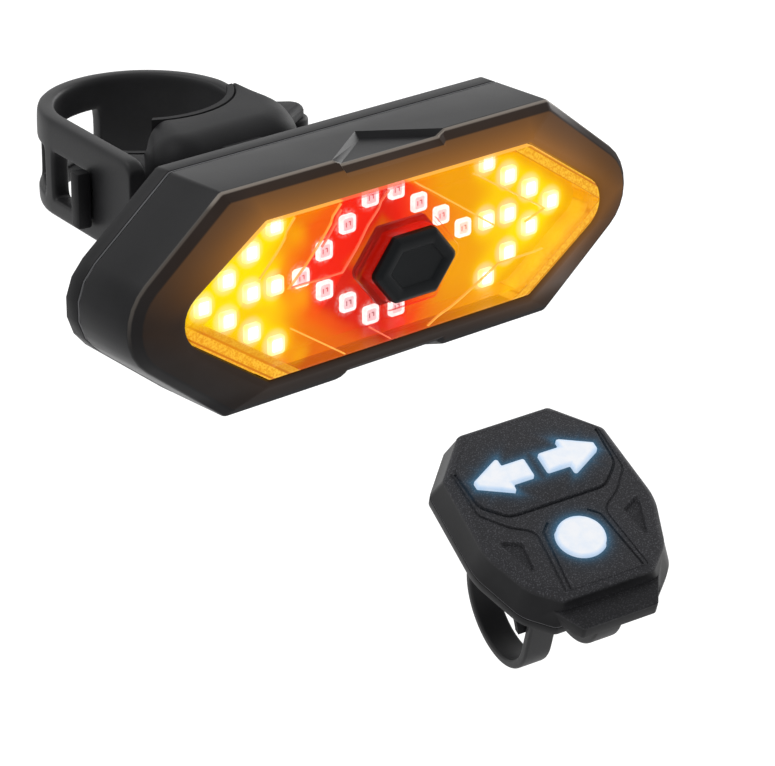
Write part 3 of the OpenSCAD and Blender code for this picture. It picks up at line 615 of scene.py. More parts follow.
# Edges of fields on the lens: a point of the edge and the direction across it
PANEL_EDGE = ((-26.2, 2.2), (0.659, -0.752))
PANEL_END = ((2.4, 13.3), (0.56, 0.83))
STRIP_EDGE = ((-23.4, 13.3), (-0.686, 0.728))
DARK_EDGE = ((-14.9, 2.1), (0.745, -0.667))
PANEL_FOOT = (1.8, 2.4)
COLLAR_WIDTH = 1.9
RIM_STEP, RIM_LINE = 2.45, 0.55
LEFT_RIM = 1.3
# Colours of lit plastic
AMBER_BODY, RED_BODY = (0.3, 0.09, 0.0), (0.25, 0.006, 0.003)
# Painted highlight along the lens's top edge, amber and red; the amber one is also the glow of the
# amber ridges
AMBER_HIGHLIGHT_AND_RIDGE, RED_RIM_HIGHLIGHT, RED_RIDGE = (1.0, 0.5, 0.09), (1.0, 0.16, 0.07), (1.0, 0.2, 0.1)
DIM_AMBER = (0.6, 0.085, 0.003)
GOLD, PALE_GOLD, GOLD_LINE = (0.68, 0.3, 0.008), (0.88, 0.55, 0.04), (0.45, 0.14, 0.004)
WARM_WHITE, RED_SPARKLE = (1.0, 0.97, 0.55), (1.0, 0.62, 0.58)
CHIP_EDGE, CHIP_MIDDLE = (1.0, 0.8, 0.08), (1.0, 0.97, 0.7)
# Painted light spill from the lens on the case's front face, far from and near the lens's rim
FAR_GLOW, NEAR_GLOW = (0.05, 0.024, 0.01), (0.29, 0.11, 0.014)
# Painted highlight along the case's front edge
EDGE_HIGHLIGHT = (0.28, 0.25, 0.22)


def lamp_axes(f):
    """The lamp's own x and y in millimetres and its level forward of the rear face."""
    lamp = bpy.context.scene.turn_lamp
    x, y, z = f.axes(f.place())
    return x / MM, (z + lamp.drop) / MM, (y + lamp.standoff) / -MM


def head_chips(tip):
    """Places of an arrow head's chips on its upper half, tip first."""
    return [(tip - CHIP_STEP[0] * k, CHIP_STEP[1] * k) for k in range(4)]


RED_CHIPS = head_chips(RED_TIP)
SHAFT_CHIPS = [(AMBER_TIP - CHIP_STEP[0] * k, 0) for k in (2, 3)]
TURN_CHIPS = head_chips(AMBER_TIP) + SHAFT_CHIPS


def chip_ways(x, y, places):
    """Squared distances to chips that are mirrored left and right, up and down."""
    return [(abs(x) - px) ** 2 + (abs(y) - py) ** 2 for px, py in places]


def halo(ways, reach):
    """Wide light round chips."""
    first, *others = [(way / reach ** 2 + 1) ** -2 for way in ways]
    return sum(others, first)


def hot_spots(ways, core):
    """Hot middles of chips."""
    hot, *others = [1 - way / core ** 2 for way in ways]
    for other in others:
        hot = hot.most(other)
    return hot.step(0.05, 0.85)


def hex_sides(name, x, y):
    """Distances in from a hexagon's slanted and flat sides, for numbers or sockets."""
    width, height, flat = (s / 2 for s in hex_size(name))
    slope = width - flat
    tips = ((width - abs(x)) * height - abs(y) * slope) / math.hypot(slope, height)
    return tips, height - abs(y)


def hex_inset(name, x, y):
    """Distance in from a hexagon's whole outline, as a socket."""
    tips, flats = hex_sides(name, x, y)
    return tips.least(flats)


def beyond(x, y, edge):
    """Distance beyond an edge."""
    (px, py), (across, up) = edge
    return (x - px) * across + (y - py) * up


def red_share(x, y):
    """How red the lens is: the tail light's panel and the chips below it, fading to the right."""
    panel = beyond(x, y, PANEL_EDGE).step(-0.3, 0.3) * beyond(x, y, PANEL_END).fall(-1.0, 0.3)
    upper = y.step(*PANEL_FOOT)
    top = panel * x.fall(4, 17)
    low = halo(chip_ways(x, y, RED_CHIPS), 4.4).step(0.15, 0.75) * x.fall(-1, 9)
    collar = (hex_inset("button", x, y) + COLLAR_WIDTH).step(0, 0.3) * x.fall(3, 8)
    return (top * upper + low * (1 - upper)).most(collar)


def amber_field(f, x):
    """Amber of the lens, more orange at the left and more yellow at the right."""
    red, green, blue = bpy.context.scene.turn_lamp.amber
    return f.mix(x.step(-12, 14), (red, green * 0.72, blue), (red, green * 1.35, blue))


def lens_colour(f, x, y, red):
    """Colour of the lens itself: an amber field, a yellow strip and the red panel."""
    lamp = bpy.context.scene.turn_lamp
    yellow, deep = tuple(lamp.yellow), tuple(lamp.red)
    turn = halo(chip_ways(x, y, TURN_CHIPS), 4.5).step(0.5, 1.6)
    strip = beyond(x, y, STRIP_EDGE).step(-0.1, 0.3)
    dim = y.fall(-11, -3) * x.fall(2, 22) * x.step(-33, -23)
    warm = f.mix(dim, amber_field(f, x), DIM_AMBER)
    warm = f.mix(turn.most(strip) * 0.85, warm, yellow)
    inner = beyond(x, y, DARK_EDGE).step(-0.2, 0.5) * x.fall(-6, 0)
    return f.mix(red, warm, f.mix(inner, deep, shade(deep, 0.45)))


def board_colour(f, x, y):
    """Light on the board: yellow to white round the amber chips, red round the others."""
    lamp = bpy.context.scene.turn_lamp
    yellow, deep = tuple(lamp.yellow), tuple(lamp.red)
    grain = f.noise(0.5, 2)
    turn, tail = chip_ways(x, y, TURN_CHIPS), chip_ways(x, y, RED_CHIPS)
    warm = f.mix(halo(turn, 3.8).step(0.15, 0.75), amber_field(f, x), yellow)
    warm = f.mix(hot_spots(turn, 3.2), warm, WARM_WHITE)
    sparkle = hot_spots(tail, 3.0) * grain.step(0.35, 0.65) * x.fall(-2, 4)
    return f.mix(halo(tail, 4.8).step(0.1, 0.45) * x.fall(3, 15), warm,
                 f.mix(sparkle, deep, RED_SPARKLE))


def lens_finish(name):
    """Tinted clear plastic lit from behind, with flow marks, a frosted golden rim and a painted
    highlight along its top edge.
    """
    f = Finish(name)
    x, y, _ = lamp_axes(f)
    flow, frost = f.noise(5, 3), f.noise(0.35, 2)
    tips, flats = hex_sides("lens", x, y)
    red = red_share(x, y)
    left = x.fall(-1, 1)
    rim = (tips - left * LEFT_RIM).fall(2.3, 2.5) * (1 - y.step(-2, 3) * left)
    line = abs(tips - RIM_STEP).step(0.1, 0.3) * abs(tips - RIM_LINE).step(0.1, 0.25)
    gold = f.mix(frost.step(0.35, 0.65), GOLD, PALE_GOLD)
    gold = f.mix(line * (1 - tips.step(2.4, 2.6) * 0.5), GOLD_LINE, gold)
    # Painted highlight: a bright line along the lens's top edge
    edge = tips.least(flats).fall(0.15, 0.35) * y.step(8, 11)
    lit = f.mix(rim, lens_colour(f, x, y, red), gold)
    lit = f.mix(edge, lit, f.mix(red, AMBER_HIGHLIGHT_AND_RIDGE, RED_RIM_HIGHLIGHT))
    return f.surface(Base_Color=f.mix(red, AMBER_BODY, RED_BODY), Roughness=0.14 + flow * 0.1,
                     Alpha=0.42 + flow * 0.08 + rim.most(edge) * 0.4,
                     Emission_Color=lit, Emission_Strength=0.95, Specular_IOR_Level=0.1,
                     Normal=f.bump(flow + frost * rim * 0.3, 0.05, 0.3))


def clear_finish(name):
    """Inner side of the lens: nearly clear, with faint flow marks."""
    f = Finish(name)
    flow = f.noise(5, 3)
    return f.surface(Base_Color=f.mix(flow, (0.5, 0.16, 0.02), (0.6, 0.22, 0.04)),
                     Roughness=0.2 + flow * 0.1, Alpha=0.02 + flow * 0.04, Specular_IOR_Level=0.1)


def ridge_finish(name):
    """Raised light-guide lines of the lens, brighter than the rest."""
    f = Finish(name)
    x, y, _ = lamp_axes(f)
    flow = f.noise(3, 2)
    lit = f.mix(red_share(x, y), AMBER_HIGHLIGHT_AND_RIDGE, RED_RIDGE)
    return f.surface(Base_Color=f.tint(0.4, lit), Roughness=0.15 + flow * 0.1,
                     Alpha=0.5 + flow * 0.3, Emission_Color=lit, Emission_Strength=0.9,
                     Specular_IOR_Level=0.15)


def board_finish(name):
    """Solder mask lit by its chips through the lens, with faint tracks."""
    f = Finish(name)
    x, y, _ = lamp_axes(f)
    tracks = f.noise(1.2, 2).step(0.55, 0.6)
    return f.surface(Base_Color=f.mix(tracks, (0.1, 0.03, 0.006), (0.07, 0.02, 0.004)),
                     Roughness=0.5 + tracks * 0.15, Emission_Color=board_colour(f, x, y),
                     Emission_Strength=1.0, Specular_IOR_Level=0.1)


def soft_chip_finish(name):
    """Frame of an amber chip: white in the middle, yellow at its edge."""
    f = Finish(name)
    x, y, _ = lamp_axes(f)
    heat = f.noise(0.8, 2)
    lit = f.mix(hot_spots(chip_ways(x, y, TURN_CHIPS), 2.5), CHIP_EDGE, CHIP_MIDDLE)
    return f.surface(Base_Color=f.tint(0.5, lit), Roughness=0.3 + heat * 0.1, Emission_Color=lit,
                     Emission_Strength=1.7)


def chip_finish(name, glow, strength):
    """Lit part of a chip, hotter in patches."""
    f = Finish(name)
    heat = f.noise(0.8, 2)
    return f.surface(Base_Color=shade(glow, 0.8), Roughness=0.3 + heat * 0.1,
                     Emission_Color=f.mix(heat.step(0.3, 0.7), shade(glow, 0.8), glow),
                     Emission_Strength=strength)


def housing_finish(name):
    """Satin case plastic, with painted light spill from the lens beside its rim and a painted
    highlight along its front edge.
    """
    lamp = bpy.context.scene.turn_lamp
    edge, base = lamp.case_depth / MM, tuple(lamp.case_colour)
    f = Finish(name)
    x, y, z = lamp_axes(f)
    # Painted light spill from the lens on the sloped front face, falling off away from the rim and
    # stronger towards the top
    near = 1 / (1 + (hex_inset("lens", x, y).least(0) / 3.2) ** 2)
    front = z.step(edge + 1.45, edge + 1.65) * 0.85 + 0.15 * z.step(edge - 0.1, edge + 0.1)
    upward = 0.06 + (y + x * 0.3).step(-14, 6) * 0.5 + y.step(0, 12) * 0.44
    cloud, fine = f.noise(10, 4), f.noise(0.25, 2)
    lit = f.mix(near, FAR_GLOW, NEAR_GLOW)
    dull = y.fall(-17, -13).most(x.step(36, 48)) * z.step(edge - 0.1, edge + 0.3)
    # Painted highlight: a lighter line along the case's front edge, strongest along the top
    painted_edge_highlight = abs(z - edge - 0.05).fall(0.15, 0.4) * (y.step(-4, 6) * 0.3 + y.step(17, 18.5) * 0.7)
    body = f.mix(cloud.step(0.3, 0.7), shade(base, 0.85), shade(base, 1.2))
    return f.surface(Base_Color=f.mix(painted_edge_highlight, body, EDGE_HIGHLIGHT),
                     Roughness=0.36 + (cloud - 0.5) * 0.14 + (fine - 0.5) * 0.08 + dull * 0.4,
                     Emission_Color=f.tint(front * upward, lit), Emission_Strength=1.0,
                     Specular_IOR_Level=0.11, Normal=f.bump(fine, 0.012, 0.5))


# Finishes of the remote, in millimetres of its own axes

TAB_START = (-20.6, -19.8)
KEY_WHITE, KEY_GLOW = (0.94, 0.96, 1.0), (0.012, 0.08, 0.15)


def remote_axes(f):
    """The remote's own x, y and z in millimetres."""
    place = remote_place()
    arm = f.node("ShaderNodeVectorMath", {0: f.place(), 1: place.translation}, operation="SUBTRACT")
    return [f.node("ShaderNodeVectorMath", {0: arm, 1: place.col[i].to_3d().normalized()},
                   output=1, operation="DOT_PRODUCT") / MM for i in range(3)]


def key_gap(x, y):
    """Distance out of the nearest key's outline, below 0 on the key."""
    ring = (x ** 2 + (y - ROUND_Y) ** 2) ** 0.5 - ROUND_R
    out, up = abs(x), abs(y - ARROW_Y)
    head = (out - ARROW_TIP) * math.sin(ARROW_SLANT) + up * math.cos(ARROW_SLANT)
    head = head.most(ARROW_BARB - out).most(out - ARROW_NOSE).most(up - ARROW_BARB_H)
    tail = (up - ARROW_TAIL_H).most(ARROW_TAIL - out).most(out - ARROW_BARB - 4)
    return ring.least(head).least(tail)


def remote_finish(name):
    """Coarse spark-eroded plastic with pale flecks, a painted lighter tone on its face and painted
    blue key light close to the keys.
    """
    remote = bpy.context.scene.turn_remote
    top, base = remote.face_level / MM, tuple(remote.shell_colour)
    f = Finish(name)
    x, y, z = remote_axes(f)
    # Painted light: blue glow from the lit keys on the shell round them, on its face only
    near = 1 / (1 + (key_gap(x, y).most(0) / 1.5) ** 2)
    cloud, fine = f.noise(9, 4), f.noise(0.32, 2, 0.6)
    tab = y.fall(*TAB_START) * z.step(TAB_TOP - 0.7, TAB_TOP - 0.2) * 0.4
    face = z.step(top - 2, top - 0.5).most(tab)
    fleck = f.noise(0.3, 1).step(0.52, 0.68) * face
    body = f.mix(cloud.step(0.3, 0.7), shade(base, 0.8), shade(base, 1.25))
    # Painted light: the face, and less so the tab's top, get a lighter base colour than the sides,
    # as if lit from above; the grain, flecks and roughness on them are their own texture
    body = f.mix(face, body, shade(base, 3.6))
    return f.surface(Base_Color=f.mix(fleck, body, shade(base, 9)),
                     Roughness=0.42 + face * 0.14 + (fine - 0.5) * 0.2, Specular_IOR_Level=0.12,
                     Emission_Color=f.tint(near * near * face, KEY_GLOW), Emission_Strength=1.0,
                     Normal=f.bump(fine * face, 0.09, 0.8))


def key_finish(name):
    """Translucent white key lit from behind, bluish towards its rim."""
    f = Finish(name)
    base = tuple(bpy.context.scene.turn_remote.key_colour)
    x, y, _ = remote_axes(f)
    cloud = f.noise(2.5, 3)
    rim = (key_gap(x, y) + 0.9).step(0, 0.9) * 0.6 + (cloud - 0.4) * 0.8
    lit = f.mix(rim.most(0).least(1), KEY_WHITE, base)
    return f.surface(Base_Color=f.tint(0.25, lit), Roughness=0.4 + cloud * 0.15,
                     Emission_Color=lit, Emission_Strength=0.74)


# Base colour, roughness, size and depth of the grain, and specular level if it isn't the usual
MOULDED = {
    "pad_rubber": ((0.012, 0.012, 0.013), 0.7, 0.3, 0.03),
    "seal_silicone": ((0.1, 0.1, 0.105), 0.5, 0.4, 0.01),
    "flap_rubber": ((0.016, 0.016, 0.017), 0.55, 0.25, 0.02),
    "board_green": ((0.02, 0.14, 0.055), 0.4, 0.5, 0.01),
    "foam": ((0.06, 0.06, 0.066), 0.85, 0.5, 0.1),
    "band_rubber": ((0.013, 0.013, 0.014), 0.5, 0.3, 0.02),
}
# Base colour, roughness and width of the streaks if it isn't the usual
METALS = {
    "pin_steel": ((0.05, 0.05, 0.055), 0.4),
    "screw_steel": ((0.46, 0.46, 0.48), 0.32),
    "switch_steel": ((0.62, 0.62, 0.64), 0.35),
    "socket_steel": ((0.66, 0.66, 0.68), 0.3),
    "coin_steel": ((0.68, 0.69, 0.7), 0.25),
    "clip_brass": ((0.7, 0.53, 0.25), 0.3),
    "cell_foil": ((0.62, 0.64, 0.66), 0.42, 1.5),
}
# Colour and strength of the glow
CHIPS = {
    "red_frame": ((1.0, 0.92, 0.9), 2.0),
    "led_red": ((0.9, 0.82, 0.86), 1.2),
    "red_die": ((0.5, 0.36, 0.42), 0.5),
    "led_amber": ((1.0, 0.98, 0.86), 3.4),
    "key_light": ((0.85, 0.92, 1.0), 2.0),
}
OWN_FINISHES = {
    "housing_plastic": housing_finish, "lens_plastic": lens_finish, "lens_ridge": ridge_finish,
    "lens_inside": clear_finish, "board_white": board_finish, "amber_frame": soft_chip_finish,
    "remote_plastic": remote_finish, "key_silicone": key_finish,
}
finishes = {}


def make_finishes():
    """Every material, by its name."""
    lamp, bracket = bpy.context.scene.turn_lamp, bpy.context.scene.turn_bracket
    coloured = {
        "saddle_plastic": (tuple(bracket.saddle_colour), 0.5, 0.22, 0.03, 0.1),
        "strap_rubber": (tuple(bracket.strap_colour), 0.46, 0.25, 0.02),
        "cover_plastic": (tuple(lamp.case_colour), 0.42, 0.25, 0.02, 0.13),
        "button_rubber": (tuple(lamp.button_colour), 0.4, 0.2, 0.015, 0.12),
    }
    for kind, rows in ((moulded, {**MOULDED, **coloured}), (metal, METALS), (chip_finish, CHIPS)):
        for name, values in rows.items():
            finishes[name] = kind(name, *values)
    for name, kind in OWN_FINISHES.items():
        finishes[name] = kind(name)


# Lamp

FACE_TOP, BOARD_FACE, SEAM = 19.9, 14.6, 3.4
FACE_THICK, CASE_BEVEL, CASE_WALL = 3.2, 1.5, 2
RIM_WIDTH, LENS_GAP = 1.2, 0.15
LENS_FLANGE, FLANGE_TOP = 1.6, 16.2
COLLAR_OUT, COLLAR_TOP, BUTTON_GAP = 1.45, 22.5, 0.25
LENS_CROWN = [(0.1, 19.9), (0.5, 20.15), (2.3, 20.35), (2.6, 20.85), (4.5, 21.35), (8.1, 21.9)]
LENS_WALL = 1.4
RIDGES = [
    [(2.4, 13.3), (19.1, 2.0)],
    [(15.3, 11.8), (30.6, 2.4), (26.0, 1.0)],
    [(30.4, -5.0), (19.9, -5.1), (5.4, -13.2)],
    [(-23.4, 13.3), (-32.0, 5.2)],
    [(-13.6, 13.3), (-26.2, 2.2), (-14.9, 2.1), (-8.9, 8.8), (-3.2, 13.2)],
    [(-13.6, 12.3), (-19.0, 7.5)],
    [(-26.0, -4.8), (-13.0, -13.3)],
    [(-8.7, -9.3), (-3.0, -13.2)],
]
RIDGE_SECTION = [(-0.17, -0.25), (0.17, -0.25), (0.09, 0.12), (-0.09, 0.12)]
BUTTON_PROFILE = [(-1.2, 18.9), (-1.2, 19.6), (0, 19.6), (0, 23.0), (0.12, 23.35), (0.75, 23.85),
                  (1.0, 23.9), (2.1, 23.9), (2.4, 23.75), (2.6, 23.45), (3.2, 23.42)]
# The V recess: half width and depth at the case's edge, and how both change with an inset
V_HALF, V_DEEP = 12.6, 8.8
V_HALF_STEP, V_DEEP_STEP = 1.746, 1.221
# Half size, corner radius and level of a chip's rings; its window's face is the one this close to
# the lamp's origin; corners and levels of the dies in it
CHIP_PROFILE = [(1.6, 0.6, 14.6), (1.6, 0.6, 15.25), (1.5, 0.55, 15.4), (1.15, 0.4, 15.4),
                (1.05, 0.35, 15.25)]
WINDOW_REACH = 15.3
DIES = [((-0.62, -0.45), (-0.42, 0.4)), ((0.3, -0.3), (0.5, 0.5)), ((0.0, 0.3), (0.4, 0.5))]
DIE_LEVELS = (15.2, 15.36)


def lens_level(x, y):
    """Height of the lens's outer face at a point."""
    inset = min(hex_sides("lens", x, y))
    for (d0, z0), (d1, z1) in zip(LENS_CROWN, LENS_CROWN[1:]):
        if inset < d1:
            return z0 + (z1 - z0) * max(inset - d0, 0) / (d1 - d0)
    return LENS_CROWN[-1][1]


class TURN_LIGHT_OT_housing(bpy.types.Operator):
    """Front housing: hexagonal case with a rounded bevel, a sloped face and two V recesses"""
    bl_idname = "turn_light.housing"
    bl_label = "Front Housing"

    def execute(self, context):
        lamp = context.scene.turn_lamp
        edge, top = lamp.case_depth / MM, (lamp.case_depth + lamp.face_rise) / MM
        ledge = top - FACE_THICK
        outside = hex_rings("case", (0, SEAM), (0, edge), (CASE_BEVEL, edge + CASE_BEVEL))
        rim = hex_rings("lens", (-RIM_WIDTH, top), (-LENS_GAP, top), (-LENS_GAP, ledge))
        inside = hex_rings("case", (CASE_WALL, ledge), (CASE_WALL, SEAM))
        piece = loft("front_housing_body", outside + rim + inside, looped=True)
        bevelled(piece, 0.45, 20, 4)
        for side in (1, -1):
            carved(piece, *self.recess(lamp, side))
        placed(piece, lamp_place(), "lamp", "housing_plastic", "front_housing", smooth=32)
        return {"FINISHED"}

    def recess(self, lamp, side):
        """Cutters with sloped walls for the V on the top face, or the bottom one, and its bevel."""
        edge, flank = lamp.case_depth / MM, lamp.case_height / MM / 2
        rings = []
        for inset, depth in ((1.1, 1.0), (-1.1, -1.0)):
            half, tip = V_HALF - V_HALF_STEP * inset, edge - V_DEEP + V_DEEP_STEP * inset
            outline = [(half, edge), (half, edge + 5), (-half, edge + 5), (-half, edge), (0, tip)]
            rings.append([Vector((x, side * (flank - depth), z)) for x, z in outline])
        ends = []
        for way in (-1, 1):
            low, high = way * 10.68, way * 14.5
            ends.append([Vector((x, side * (flank + out), edge + up)) for x, out, up in (
                (low, -1.0, -0.1), (low, -2.7, 2.25), (high, 1.0, 4), (high, 1.0, -0.1))])
        return loft("recess", rings), loft("recess_bevel", ends)


class TURN_LIGHT_OT_cover(bpy.types.Operator):
    """Rear cover with its shoe, and the rubber flap over the charging port"""
    bl_idname = "turn_light.cover"
    bl_label = "Rear Cover and Flap"

    def execute(self, context):
        softened("rear_cover", "rear_cover_body", 0.35, "lamp", "cover_plastic")
        softened("charge_flap", "charge_flap_body", 0.25, "charge_flap", "flap_rubber")
        return {"FINISHED"}


class TURN_LIGHT_OT_lens(bpy.types.Operator):
    """Lens: stepped crown, collar round the button and raised light-guide lines"""
    bl_idname = "turn_light.lens"
    bl_label = "Lens"

    def execute(self, context):
        piece = loft("lens_body", hex_rings(
            "lens", (-LENS_FLANGE, BOARD_FACE), (-LENS_FLANGE, FLANGE_TOP), (0.1, FLANGE_TOP),
            *LENS_CROWN))
        hollow = loft("hollow", hex_rings(
            "lens", (LENS_WALL, 14), (LENS_WALL, FACE_TOP - LENS_WALL),
            *[(d + LENS_WALL, z - LENS_WALL) for d, z in LENS_CROWN[2:]]))
        collar = loft("collar", hex_rings(
            "button", (-COLLAR_OUT, FACE_TOP), (-COLLAR_OUT, COLLAR_TOP)))
        hole = loft("hole", hex_rings("button", (-BUTTON_GAP, 14), (-BUTTON_GAP, 24)))
        carved(fused(carved(piece, hollow), bevelled(collar, 0.25)), hole)
        painted(piece, "lens_plastic", "lens_inside", lambda face: face.normal.z < -0.2)
        placed(piece, lamp_place(), "lamp", "lens_plastic", "lens", smooth=20)
        for index, line in enumerate(RIDGES):
            ridge = strip(f"lens_ridge_{index + 1}", line, RIDGE_SECTION, lens_level)
            placed(ridge, lamp_place(), "lamp", "lens_plastic", finish="lens_ridge")
        return {"FINISHED"}


class TURN_LIGHT_OT_chips(bpy.types.Operator):
    """Light chips: a pale frame, a lit window and its dies, copied along the arrows"""
    bl_idname = "turn_light.chips"
    bl_label = "Light Chips"

    def execute(self, context):
        head, arrow = self.head(RED_TIP), self.head(AMBER_TIP) + SHAFT_CHIPS
        other_head, other_arrow = ([(-x, y) for x, y in places] for places in (head, arrow))
        red, amber = ("red_frame", "led_red", "red_die"), ("amber_frame", "led_amber", "led_amber")
        self.row("red_chips", head + other_head, *red, "red_leds")
        self.row("right_amber_chips", arrow, *amber, "right_amber_leds")
        self.row("left_amber_chips", other_arrow, *amber, "left_amber_leds")
        return {"FINISHED"}

    def head(self, tip):
        """Places of all of an arrow head's chips."""
        half = head_chips(tip)
        return half + [(x, -y) for x, y in half[1:]]

    def row(self, name, places, rim, glow, die, node):
        """The chips of one node, as one piece."""
        first = self.chip(rim, glow, die)
        chips = [copied(first, name, Matrix.Translation((x, y, 0))) for x, y in places]
        bpy.data.objects.remove(first)
        placed(joined(chips, name), lamp_place(), "lamp", glow, node)

    def chip(self, rim, glow, die):
        """One chip on the board: rounded frame, sunk window and the dies in it."""
        piece = loft("chip", [level(rounded(block(half, half), [radius] * 4), z)
                              for half, radius, z in CHIP_PROFILE])
        painted(piece, rim, glow, lambda face: face.normal.z > 0.99
                and face.calc_center_median().length < WINDOW_REACH)
        parts = [piece]
        for low, high in DIES:
            bar = bevelled(box("die", (*low, DIE_LEVELS[0]), (*high, DIE_LEVELS[1])), 0.05)
            bar.data.materials.append(finishes[die])
            parts.append(bar)
        return joined(parts, "chip")


class TURN_LIGHT_OT_button(bpy.types.Operator):
    """Power button: bevelled hexagon with a dished middle"""
    bl_idname = "turn_light.button"
    bl_label = "Power Button"

    def execute(self, context):
        piece = loft("power_button_cap", hex_rings("button", *BUTTON_PROFILE))
        placed(piece, lamp_place(), "power_button", "button_rubber", "power_button", smooth=40)
        return {"FINISHED"}


# Bracket

# Lean of the strap's two runs, and the pin's place along the right one
SPREAD = math.radians(8)
PIN_RUN = 20
PIN_R, PIN_HOLE_R, EYE_R, EYE_ROOM_R = 1.5, 1.6, 3.5, 3.8
# The hook's place along the left run, how far it is below the middle, and corners and half heights
# of its bar and neck
HOOK_RUN, HOOK_DROP = 11.95, 1.2
HOOK_BAR, HOOK_BAR_HALF = [(-6.45, -3.9), (-3.65, -0.9)], 5.2
HOOK_NECK, HOOK_NECK_HALF = [(-5.05, -2.2), (0.9, 0)], 4.05
PAD_ROOM = 1.2
EAR_R = 2.7
EAR_LOW, EAR_TOP = 6.5, 8.3
EAR_CENTRES = [(13, -21.5), (14, -13)]
# Insets and levels of the two ears' outlines
LOWER_EAR = [(0.5, -EAR_TOP), (0, 0.5 - EAR_TOP), (0, -EAR_LOW)]
UPPER_EAR = [(0, EAR_LOW), (0, 7.4), (0.2, 7.9), (0.6, 8.3), (1.2, 8.55)]
# Corners of the neck and the rail that it carries
NECK, RAIL = [(-4.5, -42), (4.5, -22)], [(-8, -44.75), (8, -41.25)]
RAIL_TOP = 8.75
COLLAR_OUTLINE = [(-16.04, -7.4), (-17.81, -20), (-13, -29), (13, -29), (17.81, -20), (16.04, -7.4)]
COLLAR_START, COLLAR_STEPS = 7.4, 84
# Height of the collar's left flank, and the degrees where it starts to rise and over which it does
FLANK_TOP, RISE_START, RISE = 5, 235, 13
END_HALF = 6.25
HEM = 0.6
# The strap's windows; rows of points close to their ends keep those sharp
WINDOW_LOW, WINDOW_HIGH = -5.5, 3.1
WINDOW_ENDS = (0.8, 14.4)
ARC_WINDOWS = [math.radians(a) for a in (147.8, 99.3)]
ARC_WINDOW_HALF = math.radians(16.7)
ROW_GAP, ROW_CLEAR = math.radians(2.6), math.radians(4.5)


def bracket_place():
    """From millimetres about the post's axis to the frame."""
    return Matrix.Scale(MM, 4)


def turned(x, y, angle):
    """A point turned about the post."""
    c, s = math.cos(angle), math.sin(angle)
    return Vector((x * c - y * s, x * s + y * c))


def box(name, low, high):
    """A block between two corners, extruded from its lower face."""
    corners = [(low[0], low[1]), (high[0], low[1]), (high[0], high[1]), (low[0], high[1])]
    return loft(name, [level([Vector(c) for c in corners], z) for z in (low[2], high[2])])


def rod(name, radius, low, high, x=0, y=0, count=48):
    """A round bar along z."""
    return loft(name, [level(circle(radius, count, x, y), z) for z in (low, high)])


